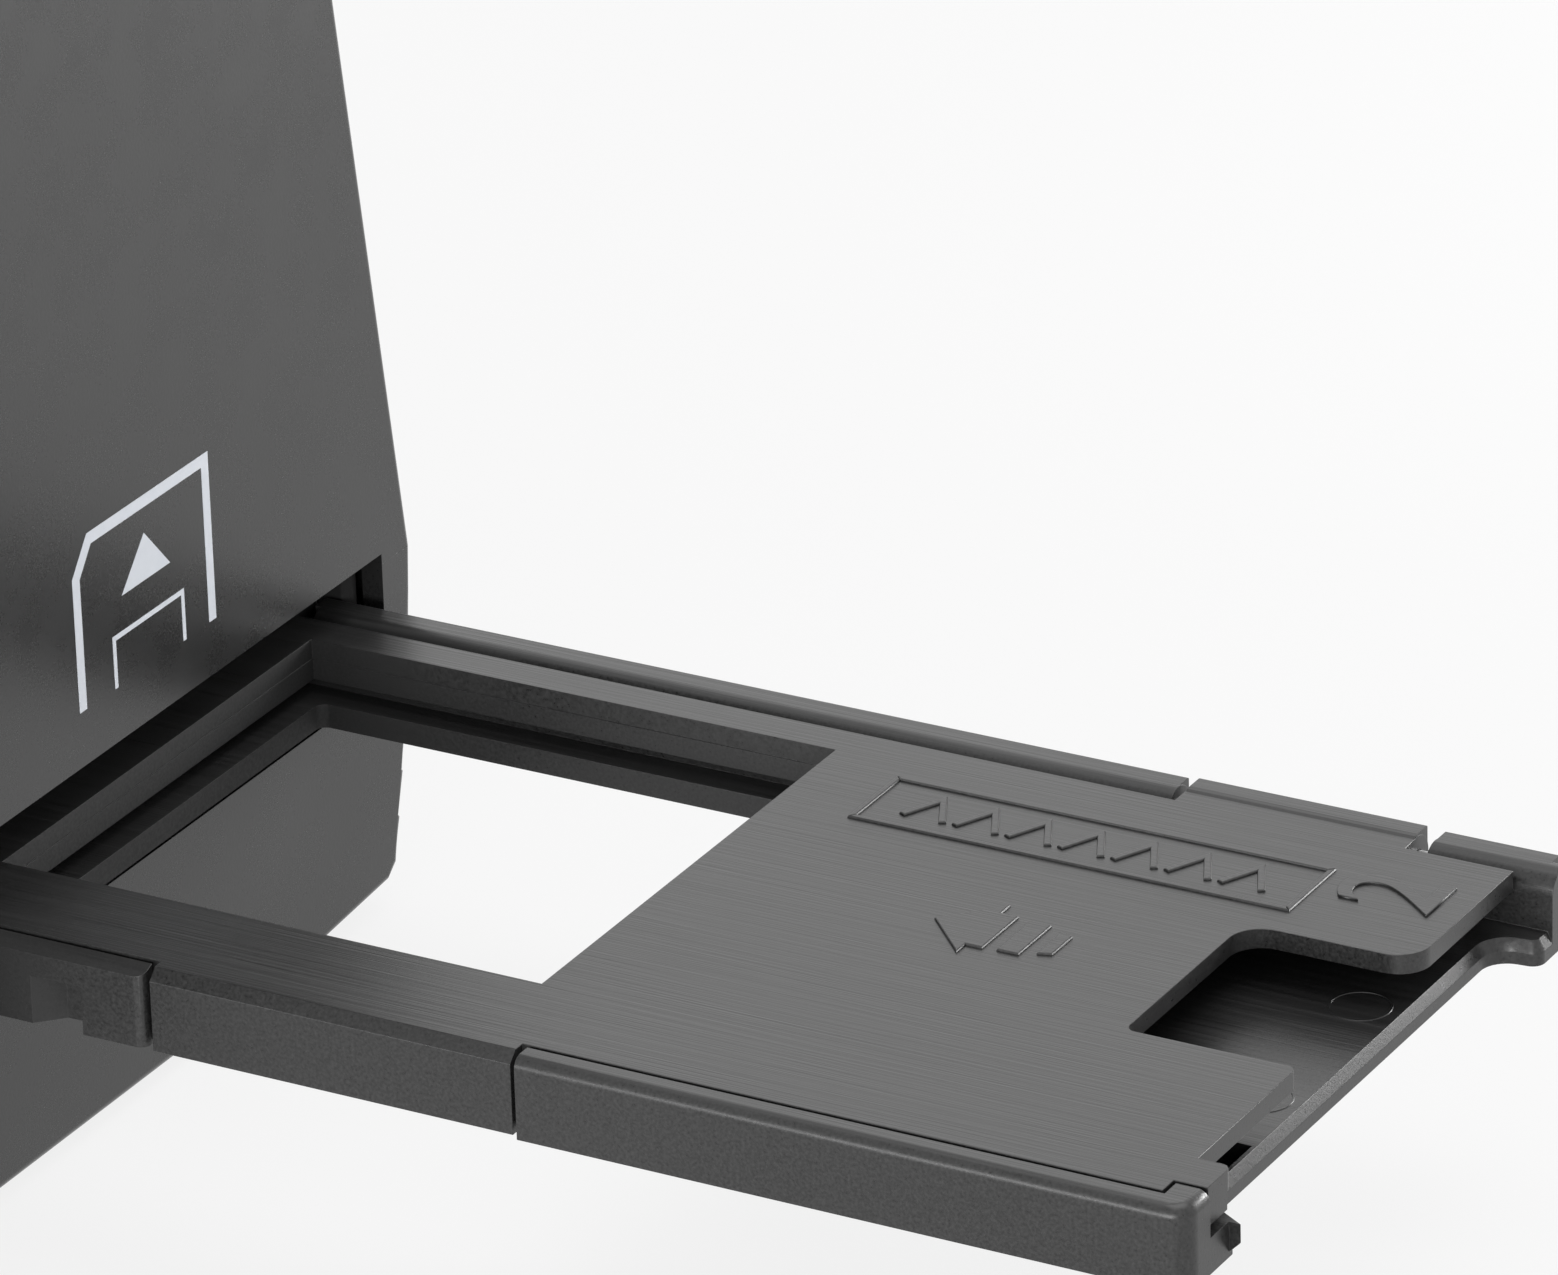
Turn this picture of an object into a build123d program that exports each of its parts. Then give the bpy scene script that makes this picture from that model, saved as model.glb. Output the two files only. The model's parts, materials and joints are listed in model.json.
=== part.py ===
from build123d import *
import math
import os

os.makedirs("parts", exist_ok=True)

# A desktop film and slide scanner with a pull-through slide holder.
# X runs across the body, out of its right side, where the holder comes out.
# Y runs from the front to the rear, and Z up from the desk.

# ---- Body -----------------------------------------------------------------------------------

body_width = 120.0          # side panel to side panel
body_depth = 117.5          # front to rear, at the seam
body_height = 130.0         # desk to the top deck
seam_height = 34.3          # desk to the seam between the two housings
foot_height = 1.4           # how far the rubber feet hold the body off the desk
wall = 2.2                  # walls of both housings
lean = 8.5                  # degrees that the upper front and rear walls lean in
top_radius = 4.5            # long edges at the front and rear of the top deck
edge_radius = 1.0           # edges round the side panels
lip_thickness = 0.9         # tongue of the lower housing inside the upper one
lip_height = 1.5
lip_gap = 0.15              # air round the tongue
tongue_x = 30.0             # two tabs of the upper housing behind the rear wall of the lower one
tongue_half = 6.0
tongue_thickness = 1.4
tongue_gap = 0.6
tongue_drop = 4.0           # how far they reach under the seam
tongue_root = 10.0          # how far they run up the wall over the seam
heel_tuck = 4.7             # how far the lower wall comes in from the seam to the heel
heel_belly = 1.55           # how far it has come in halfway down
heel_height = 4.0           # desk to the heel
sole_rise = 1.3             # how far the sole has risen where it meets the heel's cut
sole_rim = 20.75            # how far in from the seam's edge the flat of the sole begins
heel_cut = 1.6              # how far in the heel's slanted cut reaches
plastic_gap = 0.2           # air between pieces that are fitted without play

half_width = body_width / 2
half_depth = body_depth / 2
lean_in = math.tan(math.radians(lean))
floor_top = foot_height + wall
sole_half = half_depth - sole_rim
deck_half = half_depth - (body_height - seam_height) * lean_in    # half of the top deck

# ---- Slide holder, measured from the middle of its window and from its flat top --------------

holder_out = 85.85          # how far it is drawn out of its scanning position
window_length = 54.0        # window of the lid, along the holder
window_width = 51.2
window_ledge = 1.7          # how much smaller the hole in the tray is, on each side
holder_thickness = 7.6
holder_left = -67.5         # leading end
holder_right = 94.5         # end that a finger holds
near_face = -38.1           # side nearer the front
end_step = 0.6              # how much the end stretch of that side stands out
end_wall = 4.3              # thickness of its wall at the very end
end_radius = 2.2            # its corner in plan
end_round = 1.1             # its top edge
far_face = 34.15            # hinge side
lid_plate = 1.86            # thickness of the lid
lid_gap = 0.1               # air between the lid and the tray under it
lid_play = 0.4              # air between the lid's edges and the tray
floor_plate = 2.3           # floor of the tray
channel_width = 51.0        # a 50 mm slide mount runs in it
side_wall = 1.7             # near side wall of the tray
grip_left = -4.2            # stretch of the near side that is a folded edge of the lid
grip_right = 31.2
grip_gap = 0.7              # slots at the two ends of that stretch
lid_end = 91.0              # right end of the lid
lid_start = -65.9           # left end of the lid
tray_end = 90.2             # right edge of the tray's floor
floor_bevel = 0.5           # slant along that edge
floor_bevel_drop = 1.1
slit_inset = 0.9            # small recess in the floor beside that edge
slit_depth = 1.8
slit_width = 2.7
slit_front = -24.5
slit_rear = -16.8
ear_front = 27.0            # front of the corner that stands out at the hinge side
ear_bend = 2.5              # bend from the floor's edge out to it
ear_radius = 1.2
ear_slant = 0.4             # how much further back its front is at the outer end
band_stop = 3.0             # how far short of the lid's end the bands under it stop
latch_end = 94.1            # tab at the lid's near corner
latch_rear = -29.7
latch_drop = 3.6            # how far it reaches down
catch_end = 95.6            # tip of the tray's catch under the tab
catch_front = -31.2
catch_slope = 0.6           # how far its edge runs back to the tray's floor, for each mm
catch_play = 0.7            # air between the tab and the catch
catch_low = 7.1             # where the slant under its tip begins, from the holder's top
catch_tip = 6.0             # and where it ends
notch_start = 75.0          # finger notch in the lid
notch_low = -11.7
notch_high = 10.4
notch_radius = 3.0          # its corners at the far side
notch_crease = 0.9          # its corners at the near side
knuckle_start = 58.5        # the lid's right hinge knuckle
knuckle_end = 80.7
knuckle_gap = 0.9           # air to the left of a knuckle
knuckle_slack = 1.6         # air to the right of a knuckle
hinge_radius = 2.12         # round of the hinge side
pin_radius = 0.8
pin_grip = 6.0              # how far a hinge pin reaches into the tray past the knuckle
pin_play = 0.06
detent_middle = -13.8       # click notch in the near side wall
detent_width = 5.0
detent_depth = 2.2
detent_height = 4.5
wall_slant = 0.7            # fall of the near wall's top, outward
wall_low = 0.2              # how far that top starts under the lid's
wall_round = 1.0            # ends of the side walls beside the folded edge, in plan
fold_bevel = 1.0            # slant along the lid's folded edge
thin_wall = 0.9             # walls between the hollows of the tray
hollow_depth = 4.4
rim_height = 2.04           # rim under the lid, round three sides of its window
rim_thickness = 1.3
rim_step = 0.13             # how far the rim stands inside the window's edge
rim_open = 1.0              # how far it stops short of the window's right end

holder_middle = (grip_left + grip_right) / 2

# ---- Where the holder runs in the body -------------------------------------------------------

optics_rear = 41.6          # middle of the window and of the optics, from the rear edge of the seam
head_room = 3.3             # air over the holder in the slot
glide = 0.3                 # air between the holder and the guide under it
guide_side_play = 0.4       # air between the holder and each guide rail
guide_plate = 1.6
guide_rail = 1.4
slot_play = 2.15            # air between the holder and each end of the slot
slot_step = 0.4             # the slot's lower edge lies under the guide's floor
slot_lift = 1.0             # the upper housing is cut back over the slot
slot_radius = 1.0

optics_y = half_depth - optics_rear
body_x = -(holder_out + catch_end - half_width) / 2    # the whole object is centred on X = 0
holder_top = seam_height - head_room
holder_bottom = holder_top - holder_thickness
guide_top = holder_bottom - glide
guide_bottom = guide_top - guide_plate
rail_near = optics_y + near_face - end_step - guide_side_play
rail_far = optics_y + far_face + guide_side_play
slot_near = optics_y + near_face - end_step - slot_play
slot_far = optics_y + far_face + slot_play
slot_floor = guide_top - slot_step

# ---- Screen and buttons ----------------------------------------------------------------------

screen_width = 88.0
screen_thickness = 8.0
well_gap = 0.5              # air round the screen in its well
well_rim = 6.45             # deck left behind the well
well_lead = 2.5             # deck left between the control panel and the well
well_depth = 8.6
bezel_thickness = 2.0
screen_wall = 1.6
glass_width = 80.0
glass_rim = 11.0            # how much shorter than the screen its glass is
glass_thickness = 1.1
view_width = 62.0           # picture seen through the bezel
view_rim = 5.0              # how much shorter than the glass it is
lcd_width = 70.0
lcd_rim = 4.0               # how much longer than the picture the display is
lcd_thickness = 3.2
screen_pin_radius = 1.25
screen_pin_grip = 6.0       # length of each pin inside the screen's shell
scoop_half = 11.0           # half width of the finger scoop behind the screen
scoop_floor = 2.0           # level stretch of the scoop's floor
scoop_reach = 5.6
scoop_depth = 6.5

panel_half_depth = 6.2      # control panel in front of the screen
panel_rim = 10.75           # from the deck's front edge to the row of buttons

button_y = panel_rim - deck_half
well_front = button_y + panel_half_depth + well_lead
well_rear = deck_half - well_rim
screen_depth = well_rear - well_front - 2 * well_gap
glass_depth = screen_depth - glass_rim
view_depth = glass_depth - view_rim
lcd_depth = view_depth + lcd_rim
well_half = screen_width / 2 + well_gap
hinge_y = well_front + well_gap + screen_thickness / 2
hinge_z = body_height - screen_thickness / 2
screen_rear = well_rear - well_gap
glass_y = (hinge_y + screen_thickness / 2 + screen_rear) / 2

button_pitch = 17.5
button_radius = 4.2
scan_radius = 5.2        # the button in the middle
button_stand = 0.8          # how far a button stands out of the panel
button_play = 0.3           # air round a button
button_flange = 1.0         # the flange is this much wider than the button
flange_thickness = 1.2
flange_gap = 0.1
button_travel = 0.8
panel_thickness = 1.0
panel_half_width = 46.0
panel_gap = 0.15
switch_height = 3.6
switch_size = 6.0
plunger_radius = 1.7
plunger_height = 0.9

panel_bottom = body_height - panel_thickness
flange_top = body_height - wall - flange_gap
flange_bottom = flange_top - flange_thickness
stem_bottom = flange_bottom - 1.0
plunger_top = stem_bottom - button_travel - 0.2
button_board_top = plunger_top - plunger_height - switch_height

# ---- Inside ----------------------------------------------------------------------------------

board_thickness = 1.6
lamp_width = 58.0           # backlight box under the holder
lamp_wall = 1.6
lamp_depth = 11.0
opal_size = 53.0            # white diffuser
opal_thickness = 1.2
opal_ledge = 1.5
hood_foot = 58.0            # dark chamber over the holder
hood_neck = 26.0
hood_drop = 18.0            # how far the hood's top lies under the main board
hood_wall = 1.5
hood_flange = 1.6
hood_reach = 36.0           # half length of the hood's flange
lens_radius = 7.0
lens_length = 14.0
lens_flange_radius = 9.5
lens_flange = 2.0
glass_radius = 5.4
lens_rim = 2.0              # thickness of the lens at its edge
lens_bulge = 1.2            # how much thicker it is in the middle, on each side
sensor_size = 34.0
main_board_drop = 26.0      # how far the main board lies under the deck
main_board_rim = 12.0       # how far it stops short of the side panels
port_height = 3.3
usb_x = -30.0
video_x = -9.0
card_x = 24.0
usb_width = 9.0
video_width = 11.2
card_width = 26.0
card_height = 2.8
port_depth = 7.4
card_depth = 27.0
port_play = 0.25            # air between a socket and its hole in the wall
boss_radius = 3.8
boss_side = 14.0            # from the side panels to the screw bosses
boss_front = 12.75          # and from the front
screw_radius = 1.4
screw_play = 0.2
head_radius = 2.6
head_height = 2.0
head_seat = 20.0            # height of the screw heads inside their bosses
screw_bite = 9.0            # how far a housing screw reaches over the seam
foot_radius = 5.0
foot_sink = 0.6
foot_side = 10.0            # from the side panels to the middle of the feet
foot_rim = 28.75            # and from the front and rear
rib_half = 0.8              # half thickness of the ribs from the screw bosses to the side walls
post_radius = 2.8
post_side = 13.0            # from the side panels to the guide's posts
small_screw_radius = 1.0
small_head_radius = 1.9
small_head_height = 1.2
small_screw_length = 6.0
spring_thickness = 0.4
spring_width = 3.6
spring_length = 26.0
ribbon_thickness = 0.3
ribbon_width = 14.0
lamp_pitch = 14.0           # grid of lamps on the backlight's board
lamp_length = 3.5
lamp_breadth = 2.8
lamp_height = 0.8
cross_length = 2.6          # cross in the housing screws
cross_width = 0.7
cross_depth = 1.1
spring_room = 1.4           # height of the spring's window in the rail, over the spring itself
spring_side = 4.5           # half width of that window
spring_foot = 3.2           # half width of the spring's nose where it leaves the flat
stop_radius = 3.0           # light stop at the top of the lens barrel

boss_x = half_width - boss_side
boss_y = boss_front - half_depth
foot_x = half_width - foot_side
foot_y = half_depth - foot_rim
post_x = half_width - post_side
main_board_half = half_width - main_board_rim
main_board_height = body_height - main_board_drop
main_board_front = well_front + 1.0
hood_top = main_board_height - hood_drop
lamp_bottom = guide_bottom - lamp_depth
rail_top = seam_height - 0.4
hood_bottom = rail_top
sensor_bottom = hood_top + lens_flange + 4.0
main_board_top = main_board_height + board_thickness


# ---- Helpers ---------------------------------------------------------------------------------

def level(z):
    """Horizontal plane at a height, with its origin over the middle of the body."""
    return Plane(origin=(body_x, 0, z))


def across(x):
    """Upright plane facing right. Its axes are the row's Y and Z."""
    return Plane(origin=(body_x + x, 0, 0), x_dir=(0, 1, 0), z_dir=(1, 0, 0))


def holder_level(z):
    """Horizontal plane measured down from the holder's top, over the middle of its window."""
    return Plane(origin=(body_x + holder_out, optics_y, holder_top + z))


def holder_across(x):
    """Upright plane facing right, along the holder. Its origin is at the holder's top."""
    return Plane(origin=(body_x + holder_out + x, optics_y, holder_top), x_dir=(0, 1, 0), z_dir=(1, 0, 0))


def plate(x0, x1, y0, y1, mode=Mode.ADD):
    """Rectangle between two values each way, in the current sketch."""
    with Locations(((x0 + x1) / 2, (y0 + y1) / 2)):
        Rectangle(x1 - x0, y1 - y0, mode=mode)


def square(half, y, mode=Mode.ADD):
    """Square about the middle of the body at the given Y, in the current sketch."""
    plate(-half, half, y - half, y + half, mode)


def wall_y(z):
    """Outer face of the upper housing's rear wall at a height."""
    return half_depth - (z - seam_height) * lean_in


def upper_outline(inset, bottom):
    """Side view of the upper housing, drawn in by inset."""
    foot = wall_y(bottom) - inset
    top = wall_y(body_height - inset) - inset
    roof = body_height - inset
    with BuildLine() as outline:
        path = FilletPolyline(
            (foot, bottom), (top, roof), (-top, roof), (-foot, bottom), radius=top_radius - inset
        )
        Line(path @ 1, path @ 0)
    return outline.edges()


def lower_outline(inset, rise):
    """Side view of the lower housing, drawn in by inset. It ends this far over the seam."""
    rim = half_depth - inset
    heel = rim - heel_tuck
    belly = rim - heel_belly
    sole = foot_height + inset
    halfway = (seam_height + heel_height) / 2
    with BuildLine() as outline:
        for side in (1, -1):
            if rise > 0:
                Line((side * rim, seam_height + rise), (side * rim, seam_height))
            ThreePointArc(
                (side * rim, seam_height),
                (side * belly, halfway + inset / 2),
                (side * heel, heel_height + inset),
            )
            Line((side * heel, heel_height + inset), (side * (heel - heel_cut), sole + sole_rise))
            Line((side * (heel - heel_cut), sole + sole_rise), (side * sole_half, sole))
        Line((-sole_half, sole), (sole_half, sole))
        Line((-rim, seam_height + rise), (rim, seam_height + rise))
    return outline.edges()


def hold(part, name):
    """Label a finished piece and write it out."""
    part.label = name
    export_step(part, f"parts/{name}.step")


# ---- Lower housing ---------------------------------------------------------------------------

with BuildPart() as lower_housing:
    with BuildSketch(across(-half_width)):
        make_face(lower_outline(0, 0))
    extrude(amount=body_width)
    side_edges = lower_housing.faces().filter_by(Axis.X).edges()
    fillet(side_edges.filter_by(lambda edge: edge.center().Z < seam_height - 0.1), edge_radius)
    with BuildSketch(across(-half_width + wall)):
        make_face(lower_outline(wall, lip_height))
    extrude(amount=body_width - 2 * wall, mode=Mode.SUBTRACT)
    # The tongue that keys into the upper housing
    with BuildSketch(level(seam_height)):
        Rectangle(body_width - 2 * (wall - lip_thickness), body_depth - 2 * (wall - lip_thickness))
        Rectangle(body_width - 2 * wall, body_depth - 2 * wall, mode=Mode.SUBTRACT)
    extrude(amount=lip_height)
    # Screw bosses at the front, ribbed to the side walls
    with BuildSketch(level(floor_top - wall / 2)):
        with Locations((-boss_x, boss_y), (boss_x, boss_y)):
            Circle(boss_radius)
        plate(-half_width + wall / 2, -boss_x, boss_y - rib_half, boss_y + rib_half)
        plate(boss_x, half_width - wall / 2, boss_y - rib_half, boss_y + rib_half)
    extrude(amount=seam_height - floor_top + wall / 2)
    # Posts that carry the guide
    with BuildSketch(level(floor_top - wall / 2)):
        with Locations(
            (-post_x, rail_near + post_radius),
            (post_x, rail_near + post_radius),
            (-post_x, rail_far - post_radius),
            (post_x, rail_far - post_radius),
        ):
            Circle(post_radius)
    extrude(amount=guide_bottom - floor_top + wall / 2)
    # The slot, through both side walls
    with BuildSketch(across(-half_width - 1)):
        with Locations(((slot_near + slot_far) / 2, slot_floor)):
            RectangleRounded(
                slot_far - slot_near, 2 * (seam_height - slot_floor) + 10, slot_radius,
                align=(Align.CENTER, Align.MIN),
            )
    extrude(amount=body_width + 2, mode=Mode.SUBTRACT)
    # Screw holes, wide enough for a head up to its seat
    with BuildSketch(level(0)):
        with Locations((-boss_x, boss_y), (boss_x, boss_y)):
            Circle(head_radius + screw_play)
    extrude(amount=head_seat, mode=Mode.SUBTRACT)
    with BuildSketch(level(0)):
        with Locations((-boss_x, boss_y), (boss_x, boss_y)):
            Circle(screw_radius + screw_play)
    extrude(amount=seam_height + 1, mode=Mode.SUBTRACT)
    # Shallow seats for the feet
    with BuildSketch(level(foot_height)):
        with GridLocations(2 * foot_x, 2 * foot_y, 2, 2):
            Circle(foot_radius)
    extrude(amount=foot_sink, mode=Mode.SUBTRACT)
hold(lower_housing.part, "lower_housing")

# ---- Upper housing ---------------------------------------------------------------------------

board_post_x = main_board_half - 6.0
board_post_front = main_board_front + 5.0
board_post_rear = well_rear - 3.0

with BuildPart() as upper_housing:
    with BuildSketch(across(-half_width)):
        make_face(upper_outline(0, seam_height))
    extrude(amount=body_width)
    side_edges = upper_housing.faces().filter_by(Axis.X).edges()
    fillet(side_edges.filter_by(lambda edge: edge.center().Z > seam_height + 0.1), edge_radius)
    with BuildSketch(across(-half_width + wall)):
        make_face(upper_outline(wall, seam_height - 1))
    extrude(amount=body_width - 2 * wall, mode=Mode.SUBTRACT)
    # Tub of the screen's well, with the block behind it for the finger scoop
    with BuildSketch(level(body_height - well_depth - wall)):
        plate(-well_half - wall, well_half + wall, well_front - wall, well_rear + wall)
        plate(-scoop_half - wall, scoop_half + wall, well_rear, wall_y(body_height) - wall / 2)
    extrude(amount=well_depth + wall / 2)
    # Screw bosses over those of the lower housing, ribbed to the side walls
    with BuildSketch(level(seam_height)):
        with Locations((-boss_x, boss_y), (boss_x, boss_y)):
            Circle(boss_radius)
        plate(-half_width + wall / 2, -boss_x, boss_y - rib_half, boss_y + rib_half)
        plate(boss_x, half_width - wall / 2, boss_y - rib_half, boss_y + rib_half)
    extrude(amount=screw_bite + 5.0)
    # Posts under the well that carry the main board
    with BuildSketch(level(main_board_top)):
        with Locations(
            (-board_post_x, board_post_front),
            (board_post_x, board_post_front),
            (-board_post_x, board_post_rear),
            (board_post_x, board_post_rear),
        ):
            Circle(post_radius)
            Circle(small_screw_radius, mode=Mode.SUBTRACT)
    extrude(amount=body_height - well_depth - wall / 2 - main_board_top)
    # Posts under the deck that carry the button board
    with BuildSketch(level(button_board_top)):
        with Locations((-button_pitch * 1.5, button_y), (button_pitch * 1.5, button_y)):
            Circle(post_radius - 0.6)
            Circle(small_screw_radius, mode=Mode.SUBTRACT)
    extrude(amount=body_height - wall / 2 - button_board_top)
    # Tongues that hook behind the rear wall of the lower housing
    with BuildSketch(level(seam_height - tongue_drop)):
        tongue_y = half_depth - wall - tongue_gap
        for x in (-tongue_x, tongue_x):
            plate(x - tongue_half, x + tongue_half, tongue_y - tongue_thickness, tongue_y)
    extrude(amount=tongue_drop + tongue_root)
    # The well, the scoop and the seat of the control panel
    with BuildSketch(level(body_height - well_depth)):
        with Locations((0, (well_front + well_rear) / 2)):
            RectangleRounded(2 * well_half, well_rear - well_front, 1.5)
    extrude(amount=well_depth + 1, mode=Mode.SUBTRACT)
    with BuildSketch(across(-scoop_half)):
        Polygon(
            (well_rear - 1, body_height - scoop_depth),
            (well_rear + scoop_floor, body_height - scoop_depth),
            (well_rear + scoop_reach, body_height + 1),
            (well_rear - 1, body_height + 1),
            align=None,
        )
    extrude(amount=2 * scoop_half, mode=Mode.SUBTRACT)
    with BuildSketch(level(panel_bottom)):
        with Locations((0, button_y)):
            RectangleRounded(
                2 * (panel_half_width + panel_gap), 2 * (panel_half_depth + panel_gap), 2.0 + panel_gap
            )
    extrude(amount=panel_thickness + 1, mode=Mode.SUBTRACT)
    with BuildSketch(level(body_height - 2 * wall)):
        with Locations((0, button_y)):
            Circle(scan_radius + button_play)
        with Locations(*[(i * button_pitch, button_y) for i in (-2, -1, 1, 2)]):
            Circle(button_radius + button_play)
    extrude(amount=3 * wall, mode=Mode.SUBTRACT)
    # Bores of the screen's hinge in the well's side walls
    with BuildSketch(across(-well_half - wall - 1)):
        with Locations((hinge_y, hinge_z)):
            Circle(screen_pin_radius + pin_play)
    extrude(amount=2 * (well_half + wall + 1), mode=Mode.SUBTRACT)
    # Seat of the lower housing's tongue, and the cut over the slot
    lip_inset = wall - lip_thickness - lip_gap
    with BuildSketch(level(seam_height)):
        Rectangle(body_width - 2 * lip_inset, body_depth - 2 * lip_inset)
        Rectangle(body_width - 2 * wall, body_depth - 2 * wall, mode=Mode.SUBTRACT)
    extrude(amount=lip_height + lip_gap, mode=Mode.SUBTRACT)
    with BuildSketch(across(-half_width - 1)):
        plate(slot_near, slot_far, seam_height - 1, seam_height + slot_lift)
    extrude(amount=body_width + 2, mode=Mode.SUBTRACT)
    with BuildSketch(level(seam_height)):
        with Locations((-boss_x, boss_y), (boss_x, boss_y)):
            Circle(screw_radius)
    extrude(amount=screw_bite + 1, mode=Mode.SUBTRACT)
    # Holes for the three sockets in the rear wall
    with BuildSketch(Plane(origin=(body_x, 0, 0), x_dir=(1, 0, 0), z_dir=(0, -1, 0))):
        port_z = main_board_top + port_height / 2
        with Locations((usb_x, port_z)):
            RectangleRounded(usb_width + 2 * port_play, port_height + 2 * port_play, port_height / 2)
        with Locations((video_x, port_z)):
            RectangleRounded(video_width + 2 * port_play, port_height + 2 * port_play, 0.8)
        with Locations((card_x, main_board_top + card_height / 2)):
            RectangleRounded(card_width + 2 * port_play, card_height + 2 * port_play, 0.5)
    extrude(amount=-half_depth, mode=Mode.SUBTRACT)
hold(upper_housing.part, "upper_housing")

# ---- Feet and housing screws -----------------------------------------------------------------

with BuildPart() as rubber_feet:
    with BuildSketch(level(0)):
        with GridLocations(2 * foot_x, 2 * foot_y, 2, 2):
            Circle(foot_radius)
    extrude(amount=foot_height + foot_sink)
    chamfer(rubber_feet.faces().group_by(Axis.Z)[0].edges(), 0.4)
hold(rubber_feet.part, "rubber_feet")

with BuildPart() as housing_screws:
    with BuildSketch(level(head_seat - head_height)):
        with Locations((-boss_x, boss_y), (boss_x, boss_y)):
            Circle(head_radius)
    extrude(amount=head_height)
    with BuildSketch(level(head_seat)):
        with Locations((-boss_x, boss_y), (boss_x, boss_y)):
            Circle(screw_radius)
    extrude(amount=seam_height + screw_bite - head_seat)
    with BuildSketch(level(head_seat - head_height)):
        with Locations((-boss_x, boss_y), (boss_x, boss_y)):
            Rectangle(cross_length, cross_width)
            Rectangle(cross_width, cross_length)
    extrude(amount=cross_depth, mode=Mode.SUBTRACT)
hold(housing_screws.part, "housing_screws")

# ---- Guide that the holder runs in -----------------------------------------------------------

guide_half = half_width - wall - 2 * plastic_gap
spring_x = detent_middle

with BuildPart() as holder_guide:
    with BuildSketch(level(guide_bottom)):
        plate(-guide_half, guide_half, rail_near - guide_rail, rail_far + guide_rail)
        square(opal_size / 2 - opal_ledge, optics_y, Mode.SUBTRACT)
    extrude(amount=guide_plate)
    with BuildSketch(level(guide_top - opal_thickness)):
        square(opal_size / 2 + plastic_gap, optics_y)
    extrude(amount=opal_thickness + 0.1, mode=Mode.SUBTRACT)
    with BuildSketch(level(guide_bottom)):
        plate(-guide_half, guide_half, rail_near - guide_rail, rail_near)
        plate(-guide_half, guide_half, rail_far, rail_far + guide_rail)
    extrude(amount=rail_top - guide_bottom)
    # Lead-in at the four rail ends
    lead_in = holder_guide.edges().filter_by(Axis.Z).filter_by(
        lambda edge: abs(abs(edge.center().X - body_x) - guide_half) < 0.01
        and (abs(edge.center().Y - rail_near) < 0.01 or abs(edge.center().Y - rail_far) < 0.01)
    )
    chamfer(lead_in, 0.8)
    # Window in the near rail for the nose of the detent spring
    with BuildSketch(Plane(origin=(body_x, rail_near + 1, 0), x_dir=(1, 0, 0), z_dir=(0, -1, 0))):
        plate(spring_x - spring_side, spring_x + spring_side, holder_bottom,
              holder_bottom + spring_width + spring_room)
    extrude(amount=guide_rail + 2, mode=Mode.SUBTRACT)
hold(holder_guide.part, "holder_guide")

with BuildPart() as detent_spring:
    spring_z = holder_bottom + spring_room / 2
    nose_y = optics_y + near_face - glide
    back_y = rail_near - guide_rail - spring_thickness
    with BuildSketch(level(spring_z)):
        with BuildLine():
            FilletPolyline(
                (spring_x - spring_length / 2, back_y + spring_thickness / 2),
                (spring_x - spring_foot, back_y + spring_thickness / 2),
                (spring_x, nose_y - spring_thickness),
                (spring_x + spring_foot, back_y + spring_thickness / 2),
                (spring_x + spring_length / 2, back_y + spring_thickness / 2),
                radius=0.6,
            )
            offset(amount=spring_thickness / 2, kind=Kind.ARC, side=Side.BOTH)
        make_face()
    extrude(amount=spring_width)
hold(detent_spring.part, "detent_spring")

# ---- Backlight -------------------------------------------------------------------------------

with BuildPart() as backlight_frame:
    with BuildSketch(level(lamp_bottom)):
        square(lamp_width / 2, optics_y)
    extrude(amount=lamp_depth)
    with BuildSketch(level(lamp_bottom + board_thickness)):
        square(lamp_width / 2 - 5.0, optics_y)
    with BuildSketch(level(guide_bottom)):
        square(lamp_width / 2 - lamp_wall - 1.0, optics_y)
    loft(mode=Mode.SUBTRACT)
    with BuildSketch(level(lamp_bottom)):
        square(lamp_width / 2 - lamp_wall, optics_y)
    extrude(amount=board_thickness, mode=Mode.SUBTRACT)
hold(backlight_frame.part, "backlight_frame")

with BuildPart() as backlight_board:
    with BuildSketch(level(lamp_bottom)):
        square(lamp_width / 2 - lamp_wall - 0.1, optics_y)
    extrude(amount=board_thickness)
    with BuildSketch(level(lamp_bottom + board_thickness)):
        with Locations((0, optics_y)):
            with GridLocations(lamp_pitch, lamp_pitch, 3, 3):
                Rectangle(lamp_length, lamp_breadth)
    extrude(amount=lamp_height)
hold(backlight_board.part, "backlight_board")

with BuildPart() as backlight_diffuser:
    with BuildSketch(level(guide_top - opal_thickness)):
        square(opal_size / 2, optics_y)
    extrude(amount=opal_thickness)
hold(backlight_diffuser.part, "backlight_diffuser")

# ---- Camera over the holder ------------------------------------------------------------------

with BuildPart() as camera_hood:
    with BuildSketch(level(hood_bottom)):
        plate(-hood_reach, hood_reach, rail_near - guide_rail, rail_far + guide_rail)
    extrude(amount=hood_flange)
    with BuildSketch(level(hood_bottom + hood_flange)):
        square(hood_foot / 2, optics_y)
    with BuildSketch(level(hood_top)):
        square(hood_neck / 2, optics_y)
    loft()
    with BuildSketch(level(hood_bottom)):
        square(hood_foot / 2 - hood_wall, optics_y)
    with BuildSketch(level(hood_top - hood_wall)):
        square(hood_neck / 2 - hood_wall, optics_y)
    loft(mode=Mode.SUBTRACT)
    with BuildSketch(level(hood_top - 2 * hood_wall)):
        with Locations((0, optics_y)):
            Circle(lens_radius + 0.1)
    extrude(amount=3 * hood_wall, mode=Mode.SUBTRACT)
hold(camera_hood.part, "camera_hood")

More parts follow.
